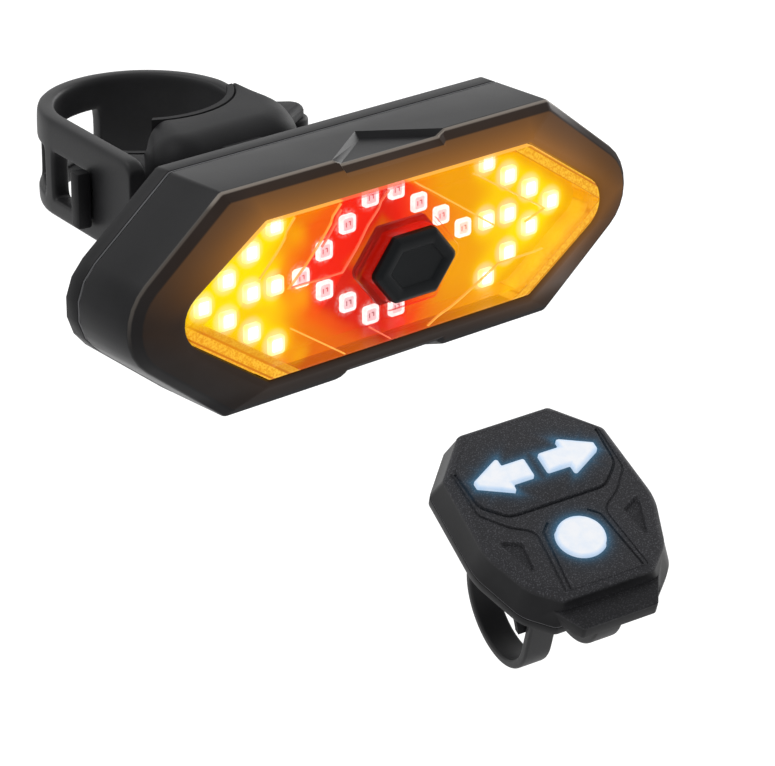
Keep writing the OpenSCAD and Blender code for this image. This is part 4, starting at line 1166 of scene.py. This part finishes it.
class TURN_LIGHT_OT_saddle(bpy.types.Operator):
    """Saddle: a thick rounded collar round the front of the post, with rail, ears and hook"""
    bl_idname = "turn_light.saddle"
    bl_label = "Saddle"

    def execute(self, context):
        bracket = context.scene.turn_bracket
        half = bracket.saddle_height / MM / 2
        seat = bracket.post_diameter / MM / 2
        pin = turned(seat + bracket.strap_thickness / MM / 2, -PIN_RUN, SPREAD)
        piece = self.collar(half, seat + PAD_ROOM)
        neck = bevelled(box("neck", (*NECK[0], -half), (*NECK[1], RAIL_TOP)), 0.6)
        rail = bevelled(box("rail", (*RAIL[0], -half), (*RAIL[1], RAIL_TOP)), 0.5)
        fused(piece, neck, rail, self.ear(pin, LOWER_EAR), self.ear(pin, UPPER_EAR))
        carved(piece, rod("room", EYE_ROOM_R, -EAR_LOW, EAR_LOW, *pin),
               rod("pin_hole", PIN_HOLE_R, -20, EAR_TOP + 0.1, *pin))
        fused(piece, *self.hook(seat))
        placed(piece, bracket_place(), "bracket", "saddle_plastic", "saddle", smooth=32)
        return {"FINISHED"}

    def collar(self, half, cup):
        """Collar swept round the post, with a rounded section that is widest at the nose."""
        outer = route(COLLAR_OUTLINE, [7] * 4)
        start = math.asin(COLLAR_START / cup)
        rings = []
        for i in range(COLLAR_STEPS + 1):
            angle = math.pi + start + (math.pi - 2 * start) * i / COLLAR_STEPS
            ray = Vector((math.cos(angle), math.sin(angle)))
            share = min(max((math.degrees(angle) - RISE_START) / RISE, 0), 1)
            top = FLANK_TOP + (half - FLANK_TOP) * math.sqrt(1 - (1 - share) ** 2)
            rings.append(self.section(ray, cup, self.reach(outer, ray), -half, top))
        return loft("saddle_body", rings)

    def reach(self, outer, ray):
        """How far a ray from the post's axis goes to the outer outline."""
        for start, end in zip(outer, outer[1:]):
            side = end - start
            turn = ray.cross(side)
            if abs(turn) < 1e-9:
                continue
            far = start.cross(side) / turn
            if far > 0 and 0 <= start.cross(ray) / turn <= 1:
                return far
        return outer[-1].length

    def section(self, ray, near, far, low, high):
        """Section of the collar: small roundings at the post, large ones outside."""
        wide = far - near
        small = min(0.9, 0.35 * wide)
        lower, upper = min(4, 0.45 * wide), min(6, 0.55 * wide)
        corners = [(near + small, low + small, small, small), (far - lower, low + 3, lower, 3),
                   (far - upper, high - 4.2, upper, 4.2),
                   (near + small, high - small, small, small)]
        ring = []
        for index, (centre, z, across, up) in enumerate(corners):
            for k in range(9):
                a = math.pi * (1 + index / 2 + k / 16)
                out = ray * (centre + across * math.cos(a))
                ring.append(Vector((*out, z + up * math.sin(a))))
        return ring

    def ear(self, pin, rows):
        """Lug that holds one end of the strap's pin: insets of its outline and their levels."""
        centres = [Vector(EAR_CENTRES[0]), pin, Vector(EAR_CENTRES[1])]
        rings = []
        for inset, z in rows:
            outline = []
            for i, centre in enumerate(centres):
                sides = [centre - centres[i - 1], centres[(i + 1) % 3] - centre]
                first, last = (math.atan2(side.y, side.x) - math.pi / 2 for side in sides)
                for k in range(15):
                    a = first + (last - first) % math.tau * k / 14
                    outline.append(centre + (EAR_R - inset) * Vector((math.cos(a), math.sin(a))))
            rings.append(level(outline, z))
        return loft("ear", rings)

    def hook(self, seat):
        """Neck through the strap's window and the bar that holds it."""
        place = Matrix.Rotation(-SPREAD, 4, "Z") @ Matrix.Translation((-seat, -HOOK_RUN, 0))
        bar, neck = (
            box(name, (*low, -half - HOOK_DROP), (*high, half - HOOK_DROP))
            for name, (low, high), half in (("hook_bar", HOOK_BAR, HOOK_BAR_HALF),
                                            ("hook_neck", HOOK_NECK, HOOK_NECK_HALF)))
        return moved(bevelled(neck, 0.3), place), moved(bevelled(bar, 0.6, 30, 2), place)


class TURN_LIGHT_OT_strap(bpy.types.Operator):
    """Strap: a soft band round the back of the post with three windows and an eye, and its pin"""
    bl_idname = "turn_light.strap"
    bl_label = "Strap"

    def execute(self, context):
        bracket = context.scene.turn_bracket
        thick, tall = bracket.strap_thickness / MM, bracket.strap_height / MM
        mid = bracket.post_diameter / MM / 2 + thick / 2
        stations = self.stations(mid, 2 * END_HALF / tall)
        piece = loft("strap_band", [self.section(*station, thick / 2, tall / 2)
                                    for station in stations])
        editing(piece)
        for middle in (None, *ARC_WINDOWS):
            choose_faces(piece, lambda face: self.in_window(face.calc_center_median(), middle))
            bpy.ops.mesh.bridge_edge_loops()
        object_mode()
        modified(piece, "SUBSURF", levels=2, render_levels=2)
        pin = turned(mid, -PIN_RUN, SPREAD)
        eye = bevelled(rod("eye", EYE_R, -END_HALF, END_HALF, *pin), 0.6, 40)
        carved(fused(piece, eye), rod("pin_hole", PIN_HOLE_R, -20, 20, *pin))
        placed(piece, bracket_place(), "bracket", "strap_rubber", "strap", smooth=40)
        steel = bevelled(rod("strap_pin_bar", PIN_R, -EAR_TOP, EAR_TOP, *pin), 0.3, 40)
        placed(steel, bracket_place(), "bracket", "pin_steel", "strap_pin")
        return {"FINISHED"}

    def stations(self, mid, end):
        """Points along the strap's middle, their outward direction and a share of its height."""
        rows = [(turned(mid, -d, SPREAD), turned(1, 0, SPREAD), share)
                for d, share in ((20, end), (16, end), (13, end), (8, (1 + end) / 2), (3, 1))]
        marks = {math.radians(a) for a in range(8, 173, 6)}
        for middle in ARC_WINDOWS:
            for end in (middle - ARC_WINDOW_HALF, middle + ARC_WINDOW_HALF):
                marks = {a for a in marks if abs(a - end) > ROW_CLEAR}
                marks |= {end - ROW_GAP, end, end + ROW_GAP}
        marks = {a for a in marks if math.radians(4) < a < math.radians(171)}
        rows += [(turned(mid, 0, a), turned(1, 0, a), 1) for a in sorted(marks)]
        left = [(d, 1) for d in (0, 0.8, 1.6, 5, 9, 13.6, 14.4, 15.2, 19, 23, 26)]
        left += [(27.6, 0.97), (28.6, 0.87), (29, 0.7)]
        return rows + [(turned(-mid, -d, -SPREAD), turned(-1, 0, -SPREAD), share)
                       for d, share in left]

    def section(self, point, out, share, u, v):
        """Cross-section of the strap with support rows beside its windows."""
        heights = (-v + HEM, WINDOW_LOW - HEM, WINDOW_LOW, WINDOW_HIGH, WINDOW_HIGH + HEM, v - HEM)
        rows = [(u, b) for b in heights] + [(u - HEM, v), (-u + HEM, v)]
        rows += [(-u, b) for b in reversed(heights)] + [(-u + HEM, -v), (u - HEM, -v)]
        return [Vector((*(point + out * a), b * share)) for a, b in rows]

    def in_window(self, p, middle):
        """Whether a point is in the window round an angle, or in the hooked one on the left run."""
        if not WINDOW_LOW < p.z < WINDOW_HIGH:
            return False
        if middle is None:
            local = turned(p.x, p.y, SPREAD)
            return local.x < 0 and WINDOW_ENDS[0] < -local.y < WINDOW_ENDS[1]
        return p.y > 0 and abs(math.atan2(p.y, p.x) - middle) < ARC_WINDOW_HALF


# Remote

# Levels are above the handlebar's axis; half outlines start at the end away from the rider
BASE_LEVEL = 17.8
SHELL_LEVEL = 20.2
EDGE_OUT, EDGE_UP = 1.6, 1.9
TAB_TOP = SHELL_LEVEL + 3.6
FACE_HALF = [(10.8, 26.2), (19, 17), (20, -3.6), (16, -14.8), (10.6, -19.9)]
FACE_RADII = [1.5, 2, 14, 8, 2]
PANEL_HALF = [(10, 23.6), (16.2, 17), (15.6, 7), (11, 2.6)]
PANEL_RADII = [1, 2.5, 4, 4]
SHIELD_HALF = [(10.4, 24.2), (17.2, 17), (17.0, 5.2), (12.6, 0.2), (8.0, -2.8), (9.5, -18.5)]
SHIELD_RADII = [1, 2.5, 3, 6, 3, 0.6]
TONGUE_HALF = [(4.6, -1.7), (6.6, -3.6), (8.4, -18.4)]
PANEL_GROOVE = [(16.5, 16.5), (15.95, 6.9), (11.15, 2.25)]
GROOVE_SECTION = [(-0.3, 1.5), (0.3, 1.5), (0.3, 0), (0.14, -0.35), (-0.14, -0.35), (-0.3, 0)]
RECESS = [(16.6, -1.8), (11.7, -4.2), (12.9, -13.2)]
TAB_HALF = [(12.5, -19), (8.5, -25.9)]
ARROW_Y = 12
ROUND_Y = -7.5
ROUND_R, ROUND_COUNT = 5.2, 72
ARROW_TIP, ARROW_BARB, ARROW_BARB_H = 15.6, 6.8, 4.75
ARROW_TAIL, ARROW_TAIL_H, ARROW_NOSE = 1.6, 2.5, 14
KEY_GAP, KEY_RISE, KEY_UNDER, KEY_FLANGE = 0.25, 0.7, 2.05, 0.75
ARROW_SLANT = math.atan2(ARROW_BARB_H, ARROW_TIP - ARROW_BARB)
BAND_X = 8.5
ROD_Y, ROD_Z = 12.5, 14.0
ROD_R, ROD_HOLE_R = 1.3, 1.4
POSTS = [(15.2, 1.5), (7.5, -15.6), (-7.5, -15.6), (-15.2, 1.5)]
CASE_SCREWS = [(30, 15.7), (-30, 15.7), (30, -15.7), (-30, -15.7)]
CROSS = (1.1, 0.24)
KEPT_SHAPES = {
    "saddle_pad": "pad_rubber", "case_seal": "seal_silicone", "lens_seal": "seal_silicone",
    "led_board": "board_white", "power_switch": "switch_steel", "receiver_module": "board_green",
    "battery_cell": "cell_foil", "battery_pad": "foam", "charge_socket": "socket_steel",
    "remote_seal": "seal_silicone", "remote_pad": "pad_rubber", "remote_board": "board_green",
    "remote_switches": "switch_steel", "remote_leds": "key_light", "coin_cell": "coin_steel",
    "cell_clip": "clip_brass",
}


def face_ring(grow, z):
    """The remote's outline, moved out."""
    half = [(x + grow, y + grow * math.copysign(1, y) if abs(y) > 10 else y) for x, y in FACE_HALF]
    return level(rounded(both_sides(half), both_radii(FACE_RADII)), z)


def arrow_ring(grow, z, side):
    """Outline of an arrow key that points to the right, or mirrored."""
    tip = ARROW_TIP + grow / math.sin(ARROW_SLANT)
    barb = ARROW_BARB_H + grow / math.cos(ARROW_SLANT) + grow * math.tan(ARROW_SLANT)
    back, tail, half = ARROW_BARB - grow, ARROW_TAIL - grow, ARROW_TAIL_H + grow
    nose = ARROW_NOSE + grow
    blunt = (tip - nose) * math.tan(ARROW_SLANT)
    corners = [(nose, -blunt), (nose, blunt), (back, barb), (back, half),
               (tail, half), (tail, -half), (back, -half), (back, -barb)]
    outline = rounded(corners, [0.3, 0.3, 0.5, 0.3, 0.5, 0.5, 0.3, 0.5])
    return [Vector((side * p.x, p.y + ARROW_Y, z)) for p in outline]


class TURN_LIGHT_OT_remote(bpy.types.Operator):
    """Remote shell: rounded face with a raised shield and key panel, and its base"""
    bl_idname = "turn_light.remote"
    bl_label = "Remote Shell and Base"

    def execute(self, context):
        face = context.scene.turn_remote.face_level / MM
        edge = [(math.sin(a), math.cos(a)) for a in [math.radians(11.25 * i) for i in range(9)]]
        piece = loft("remote_shell_body", [face_ring(1.4, SHELL_LEVEL)] + [
            face_ring(-EDGE_OUT * (1 - c), face - EDGE_UP + EDGE_UP * s) for s, c in edge])
        carved(piece, loft("hollow", [face_ring(grow, z) for grow, z in (
            (-1.6, SHELL_LEVEL - 1), (-1.6, face - 3.2), (-2.6, face - 1.8))]))
        for side in (1, -1):
            carved(piece, self.recess(side, face))
        fused(piece, self.plate("shield", SHIELD_HALF, SHIELD_RADII, face - 0.5, face + 0.2, 0.15),
              self.plate("panel", PANEL_HALF, PANEL_RADII, face - 0.6, face + 0.55, 0.25),
              self.plate("tab", TAB_HALF, [0.3, 1], SHELL_LEVEL + 0.25, TAB_TOP, 0.5))
        for line in self.grooves():
            carved(piece, strip("groove", line, GROOVE_SECTION, lambda x, y: face + 0.1))
        ends = (face - 4, face + 3)
        for side in (1, -1):
            carved(piece, loft("opening", [arrow_ring(KEY_GAP, z, side) for z in ends]))
        carved(piece, rod("opening", ROUND_R + KEY_GAP, *ends, 0, ROUND_Y, ROUND_COUNT))
        placed(piece, remote_place(), "remote", "remote_plastic", "remote_shell", smooth=28)
        softened("remote_base", "remote_base_plate", 0.3, "remote", "remote_plastic")
        return {"FINISHED"}

    def grooves(self):
        """Paths of the channels round the panel, the shield and the tongue of the round key."""
        lines = [route(both_sides(PANEL_GROOVE), [4.2] * 4)]
        halves = route(SHIELD_HALF[1:], SHIELD_RADII[2:5]), route(TONGUE_HALF, [1.2])
        return lines + [[Vector((side * p.x, p.y)) for p in half]
                        for side in (1, -1) for half in halves]

    def plate(self, name, half, radii, low, high, edge):
        """A raised plate with a rounded upper edge."""
        outline = rounded(both_sides(half), both_radii(radii))
        return bevelled(loft(name, [level(outline, low), level(outline, high)]), edge, 60)

    def recess(self, side, face):
        """Cutter with sloped walls for a triangular recess."""
        middle = sum((Vector(p) for p in RECESS), Vector((0, 0))) / len(RECESS)
        rings = []
        for grow, z in ((0.84, face - 0.8), (1.16, face + 0.8)):
            corners = [middle + (Vector(p) - middle) * grow for p in RECESS]
            rings.append([Vector((side * p.x, p.y, z)) for p in rounded(corners, [0.6, 0.6, 0.4])])
        return loft("recess", rings)


class TURN_LIGHT_OT_keys(bpy.types.Operator):
    """Lit keys: two arrows and a round one with softened tops and flanges under the face"""
    bl_idname = "turn_light.keys"
    bl_label = "Keys"

    def execute(self, context):
        face = context.scene.turn_remote.face_level / MM
        for side, body in ((1, "right_key"), (-1, "left_key")):
            self.key(body, face + 0.5, lambda grow, z: arrow_ring(grow, z, side), face)
        self.key("round_key", face,
                 lambda grow, z: level(circle(ROUND_R + grow, ROUND_COUNT, 0, ROUND_Y), z), face)
        return {"FINISHED"}

    def key(self, body, around, ring, face):
        """A key that stands out of the surface around it, with a flange under the face."""
        under, top = face - KEY_UNDER, around + KEY_RISE
        piece = loft(body + "_cap", [ring(grow, z) for grow, z in (
            (1, under - KEY_FLANGE), (1, under), (0, under), (0, top - 0.4), (-0.12, top - 0.12),
            (-0.4, top), (-0.7, top))])
        placed(piece, remote_place(), body, "key_silicone", body, smooth=40)


class TURN_LIGHT_OT_bands(bpy.types.Operator):
    """Rubber bands: round-edged straps under the handlebar with an eye on each rod"""
    bl_idname = "turn_light.bands"
    bl_label = "Rubber Bands"

    def execute(self, context):
        remote = context.scene.turn_remote
        width, thick = remote.band_width / MM, remote.band_thickness / MM
        mid = remote.bar_diameter / MM / 2 + thick / 2
        path = [(-mid, z, -1, 0) for z in (ROD_Z, 10, 6, 2)]
        path += [(mid * math.cos(a), mid * math.sin(a), math.cos(a), math.sin(a))
                 for a in [math.pi * (1 + i / 36) for i in range(37)]]
        path += [(mid, z, 1, 0) for z in (2, 6, 10, ROD_Z)]
        u, v = width / 2, thick / 2
        section = rounded(block(u, v), [0.6] * 4)
        rings = [[Vector((p.x, y + out_y * p.y, z + out_z * p.y)) for p in section]
                 for y, z, out_y, out_z in path]
        piece = loft("band", rings)
        rods = [Matrix.Translation((0, y, ROD_Z)) @ Matrix.Rotation(math.pi / 2, 4, "Y")
                for y in (-ROD_Y, ROD_Y)]
        for place in rods:
            fused(piece, moved(bevelled(rod("eye", ROD_R + thick, -u, u), 0.5, 40), place))
        for place in rods:
            carved(piece, moved(rod("hole", ROD_HOLE_R, -width, width), place))
        for x, node in ((-BAND_X, "left_band"), (BAND_X, "right_band")):
            band = copied(piece, node + "_strap", Matrix.Translation((x, 0, 0)))
            placed(band, remote_place(), "remote", "band_rubber", node)
        bpy.data.objects.remove(piece)
        return {"FINISHED"}


class TURN_LIGHT_OT_screws(bpy.types.Operator):
    """Case and remote screws with a cross recess"""
    bl_idname = "turn_light.screws"
    bl_label = "Screws"

    def execute(self, context):
        for name, spots, z, shank, place, body in (
                ("case_screws", CASE_SCREWS, 0, 7, lamp_place(), "lamp"),
                ("remote_screws", POSTS, BASE_LEVEL, 5, remote_place(), "remote")):
            screw = self.screw(shank)
            copies = [copied(screw, name + "_set", Matrix.Translation((x, y, z))) for x, y in spots]
            placed(joined(copies, name + "_set"), place, body, "screw_steel", name)
            bpy.data.objects.remove(screw)
        return {"FINISHED"}

    def screw(self, shank):
        """Head facing down at z = 0.1, shank upward."""
        piece = loft("screw", [level(circle(r, 32), z) for r, z in (
            (1.5, 0.1), (1.8, 0.25), (1.9, 0.5), (1.9, 1.3), (0.75, 1.3),
            (0.75, shank + 0.9), (0.45, shank + 1.3))])
        arms = [box("arm", (-x, -y, -1), (x, y, 0.7)) for x, y in (CROSS, CROSS[::-1])]
        return carved(piece, *arms)


class TURN_LIGHT_OT_inside(bpy.types.Operator):
    """Finishes for the pieces that keep their CAD shape"""
    bl_idname = "turn_light.inside"
    bl_label = "Inner Pieces"

    def execute(self, context):
        for node, finish in KEPT_SHAPES.items():
            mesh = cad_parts[node].data
            mesh.materials.clear()
            mesh.materials.append(finishes[finish])
        return {"FINISHED"}


# Stage

# Name, place, size and power of the lights, and the point that they face
LIGHTS = [
    ("key_light", (-0.35, 0.3, 0.9), 0.7, 4.0),
    ("side_light", (0.95, 0.2, 0.28), 0.5, 3.0),
    ("back_light", (0.55, 0.7, 0.45), 0.7, 0.4),
]
LIGHT_AIM = (0.03, -0.03, -0.04)
DIM_WORLD = 0.4
SENSOR_WIDTH = 36


class TURN_LIGHT_OT_stage(bpy.types.Operator):
    """Pale floor, soft lights and the camera"""
    bl_idname = "turn_light.stage"
    bl_label = "Stage"

    def execute(self, context):
        scene = context.scene
        settings = scene.turn_stage
        scene.view_settings.view_transform = "Standard"
        self.floor(cad_box[0][2] - settings.floor_gap)
        self.world(scene)
        for light in LIGHTS:
            self.light(*light)
        deselect()
        bpy.ops.object.camera_add(location=settings.camera_place,
                                  rotation=self.facing(settings.camera_aim))
        camera = context.object
        camera.data.lens = settings.focal_length
        camera.data.sensor_width = SENSOR_WIDTH
        scene.camera = camera
        return {"FINISHED"}

    def facing(self, aim):
        """Turn of a light or camera that faces along a direction."""
        return Vector(aim).to_track_quat("-Z", "Y").to_euler()

    def light(self, name, place, size, power):
        """A square soft light that faces the object."""
        deselect()
        bpy.ops.object.light_add(type="AREA", location=place,
                                 rotation=self.facing(Vector(LIGHT_AIM) - Vector(place)))
        light = bpy.context.object
        light.name = name
        light.data.size = size
        light.data.energy = power

    def world(self, scene):
        """White where the camera and reflections see it, dimmer as a light."""
        world = bpy.data.worlds.new("studio")
        scene.world = world
        nodes = Nodes(world)
        camera, glossy, through = (
            nodes.node("ShaderNodeLightPath", output=f"Is {kind} Ray")
            for kind in ("Camera", "Glossy", "Transmission"))
        seen = camera.most(glossy).most(through)
        background = nodes.tree.nodes["Background"]
        nodes.feed(background.inputs["Color"], (1, 1, 1))
        nodes.feed(background.inputs["Strength"],
                   nodes.node("ShaderNodeMapRange", {"Value": seen, "To Min": DIM_WORLD}))

    def floor(self, z):
        """A wide floor, white to the camera, that keeps a soft shadow."""
        deselect()
        bpy.ops.mesh.primitive_plane_add(size=6, location=(0, 0, z))
        floor = bpy.context.object
        floor.name = "floor"
        f = Finish("floor_paper")
        fibre = f.noise(4, 3)
        floor.data.materials.append(f.surface(
            Base_Color=f.mix(fibre, (0.86, 0.86, 0.86), (0.9, 0.9, 0.9)),
            Roughness=0.7 + fibre * 0.1, Specular_IOR_Level=0.1,
            Emission_Color=(1, 1, 1), Emission_Strength=0.45))


PIECES = (
    TURN_LIGHT_OT_housing, TURN_LIGHT_OT_cover, TURN_LIGHT_OT_lens, TURN_LIGHT_OT_chips,
    TURN_LIGHT_OT_button, TURN_LIGHT_OT_saddle, TURN_LIGHT_OT_strap, TURN_LIGHT_OT_remote,
    TURN_LIGHT_OT_keys, TURN_LIGHT_OT_bands, TURN_LIGHT_OT_screws, TURN_LIGHT_OT_inside,
    TURN_LIGHT_OT_stage,
)
SETTINGS = {
    "turn_lamp": LampSettings, "turn_bracket": BracketSettings,
    "turn_remote": RemoteSettings, "turn_stage": StageSettings,
}


class TURN_LIGHT_PT_panel(bpy.types.Panel):
    """Settings and operators of the turn signal light"""
    bl_idname = "TURN_LIGHT_PT_panel"
    bl_label = "Turn Signal Light"
    bl_space_type = "VIEW_3D"
    bl_region_type = "UI"
    bl_category = "Turn Light"

    def draw(self, context):
        for name in SETTINGS:
            box = self.layout.box()
            settings = getattr(context.scene, name)
            for prop in settings.bl_rna.properties:
                if prop.identifier not in ("rna_type", "name"):
                    box.prop(settings, prop.identifier)
        for operator in PIECES:
            self.layout.operator(operator.bl_idname)


def register():
    for kind in (*SETTINGS.values(), *PIECES, TURN_LIGHT_PT_panel):
        bpy.utils.register_class(kind)
    for name, kind in SETTINGS.items():
        setattr(bpy.types.Scene, name, PointerProperty(type=kind))


def unregister():
    for name in SETTINGS:
        delattr(bpy.types.Scene, name)
    for kind in (TURN_LIGHT_PT_panel, *reversed(PIECES), *reversed(SETTINGS.values())):
        bpy.utils.unregister_class(kind)


def main():
    register()
    make_finishes()
    for operator in PIECES:
        group, name = operator.bl_idname.split(".")
        getattr(getattr(bpy.ops, group), name)()


if __name__ == "__main__":
    main()
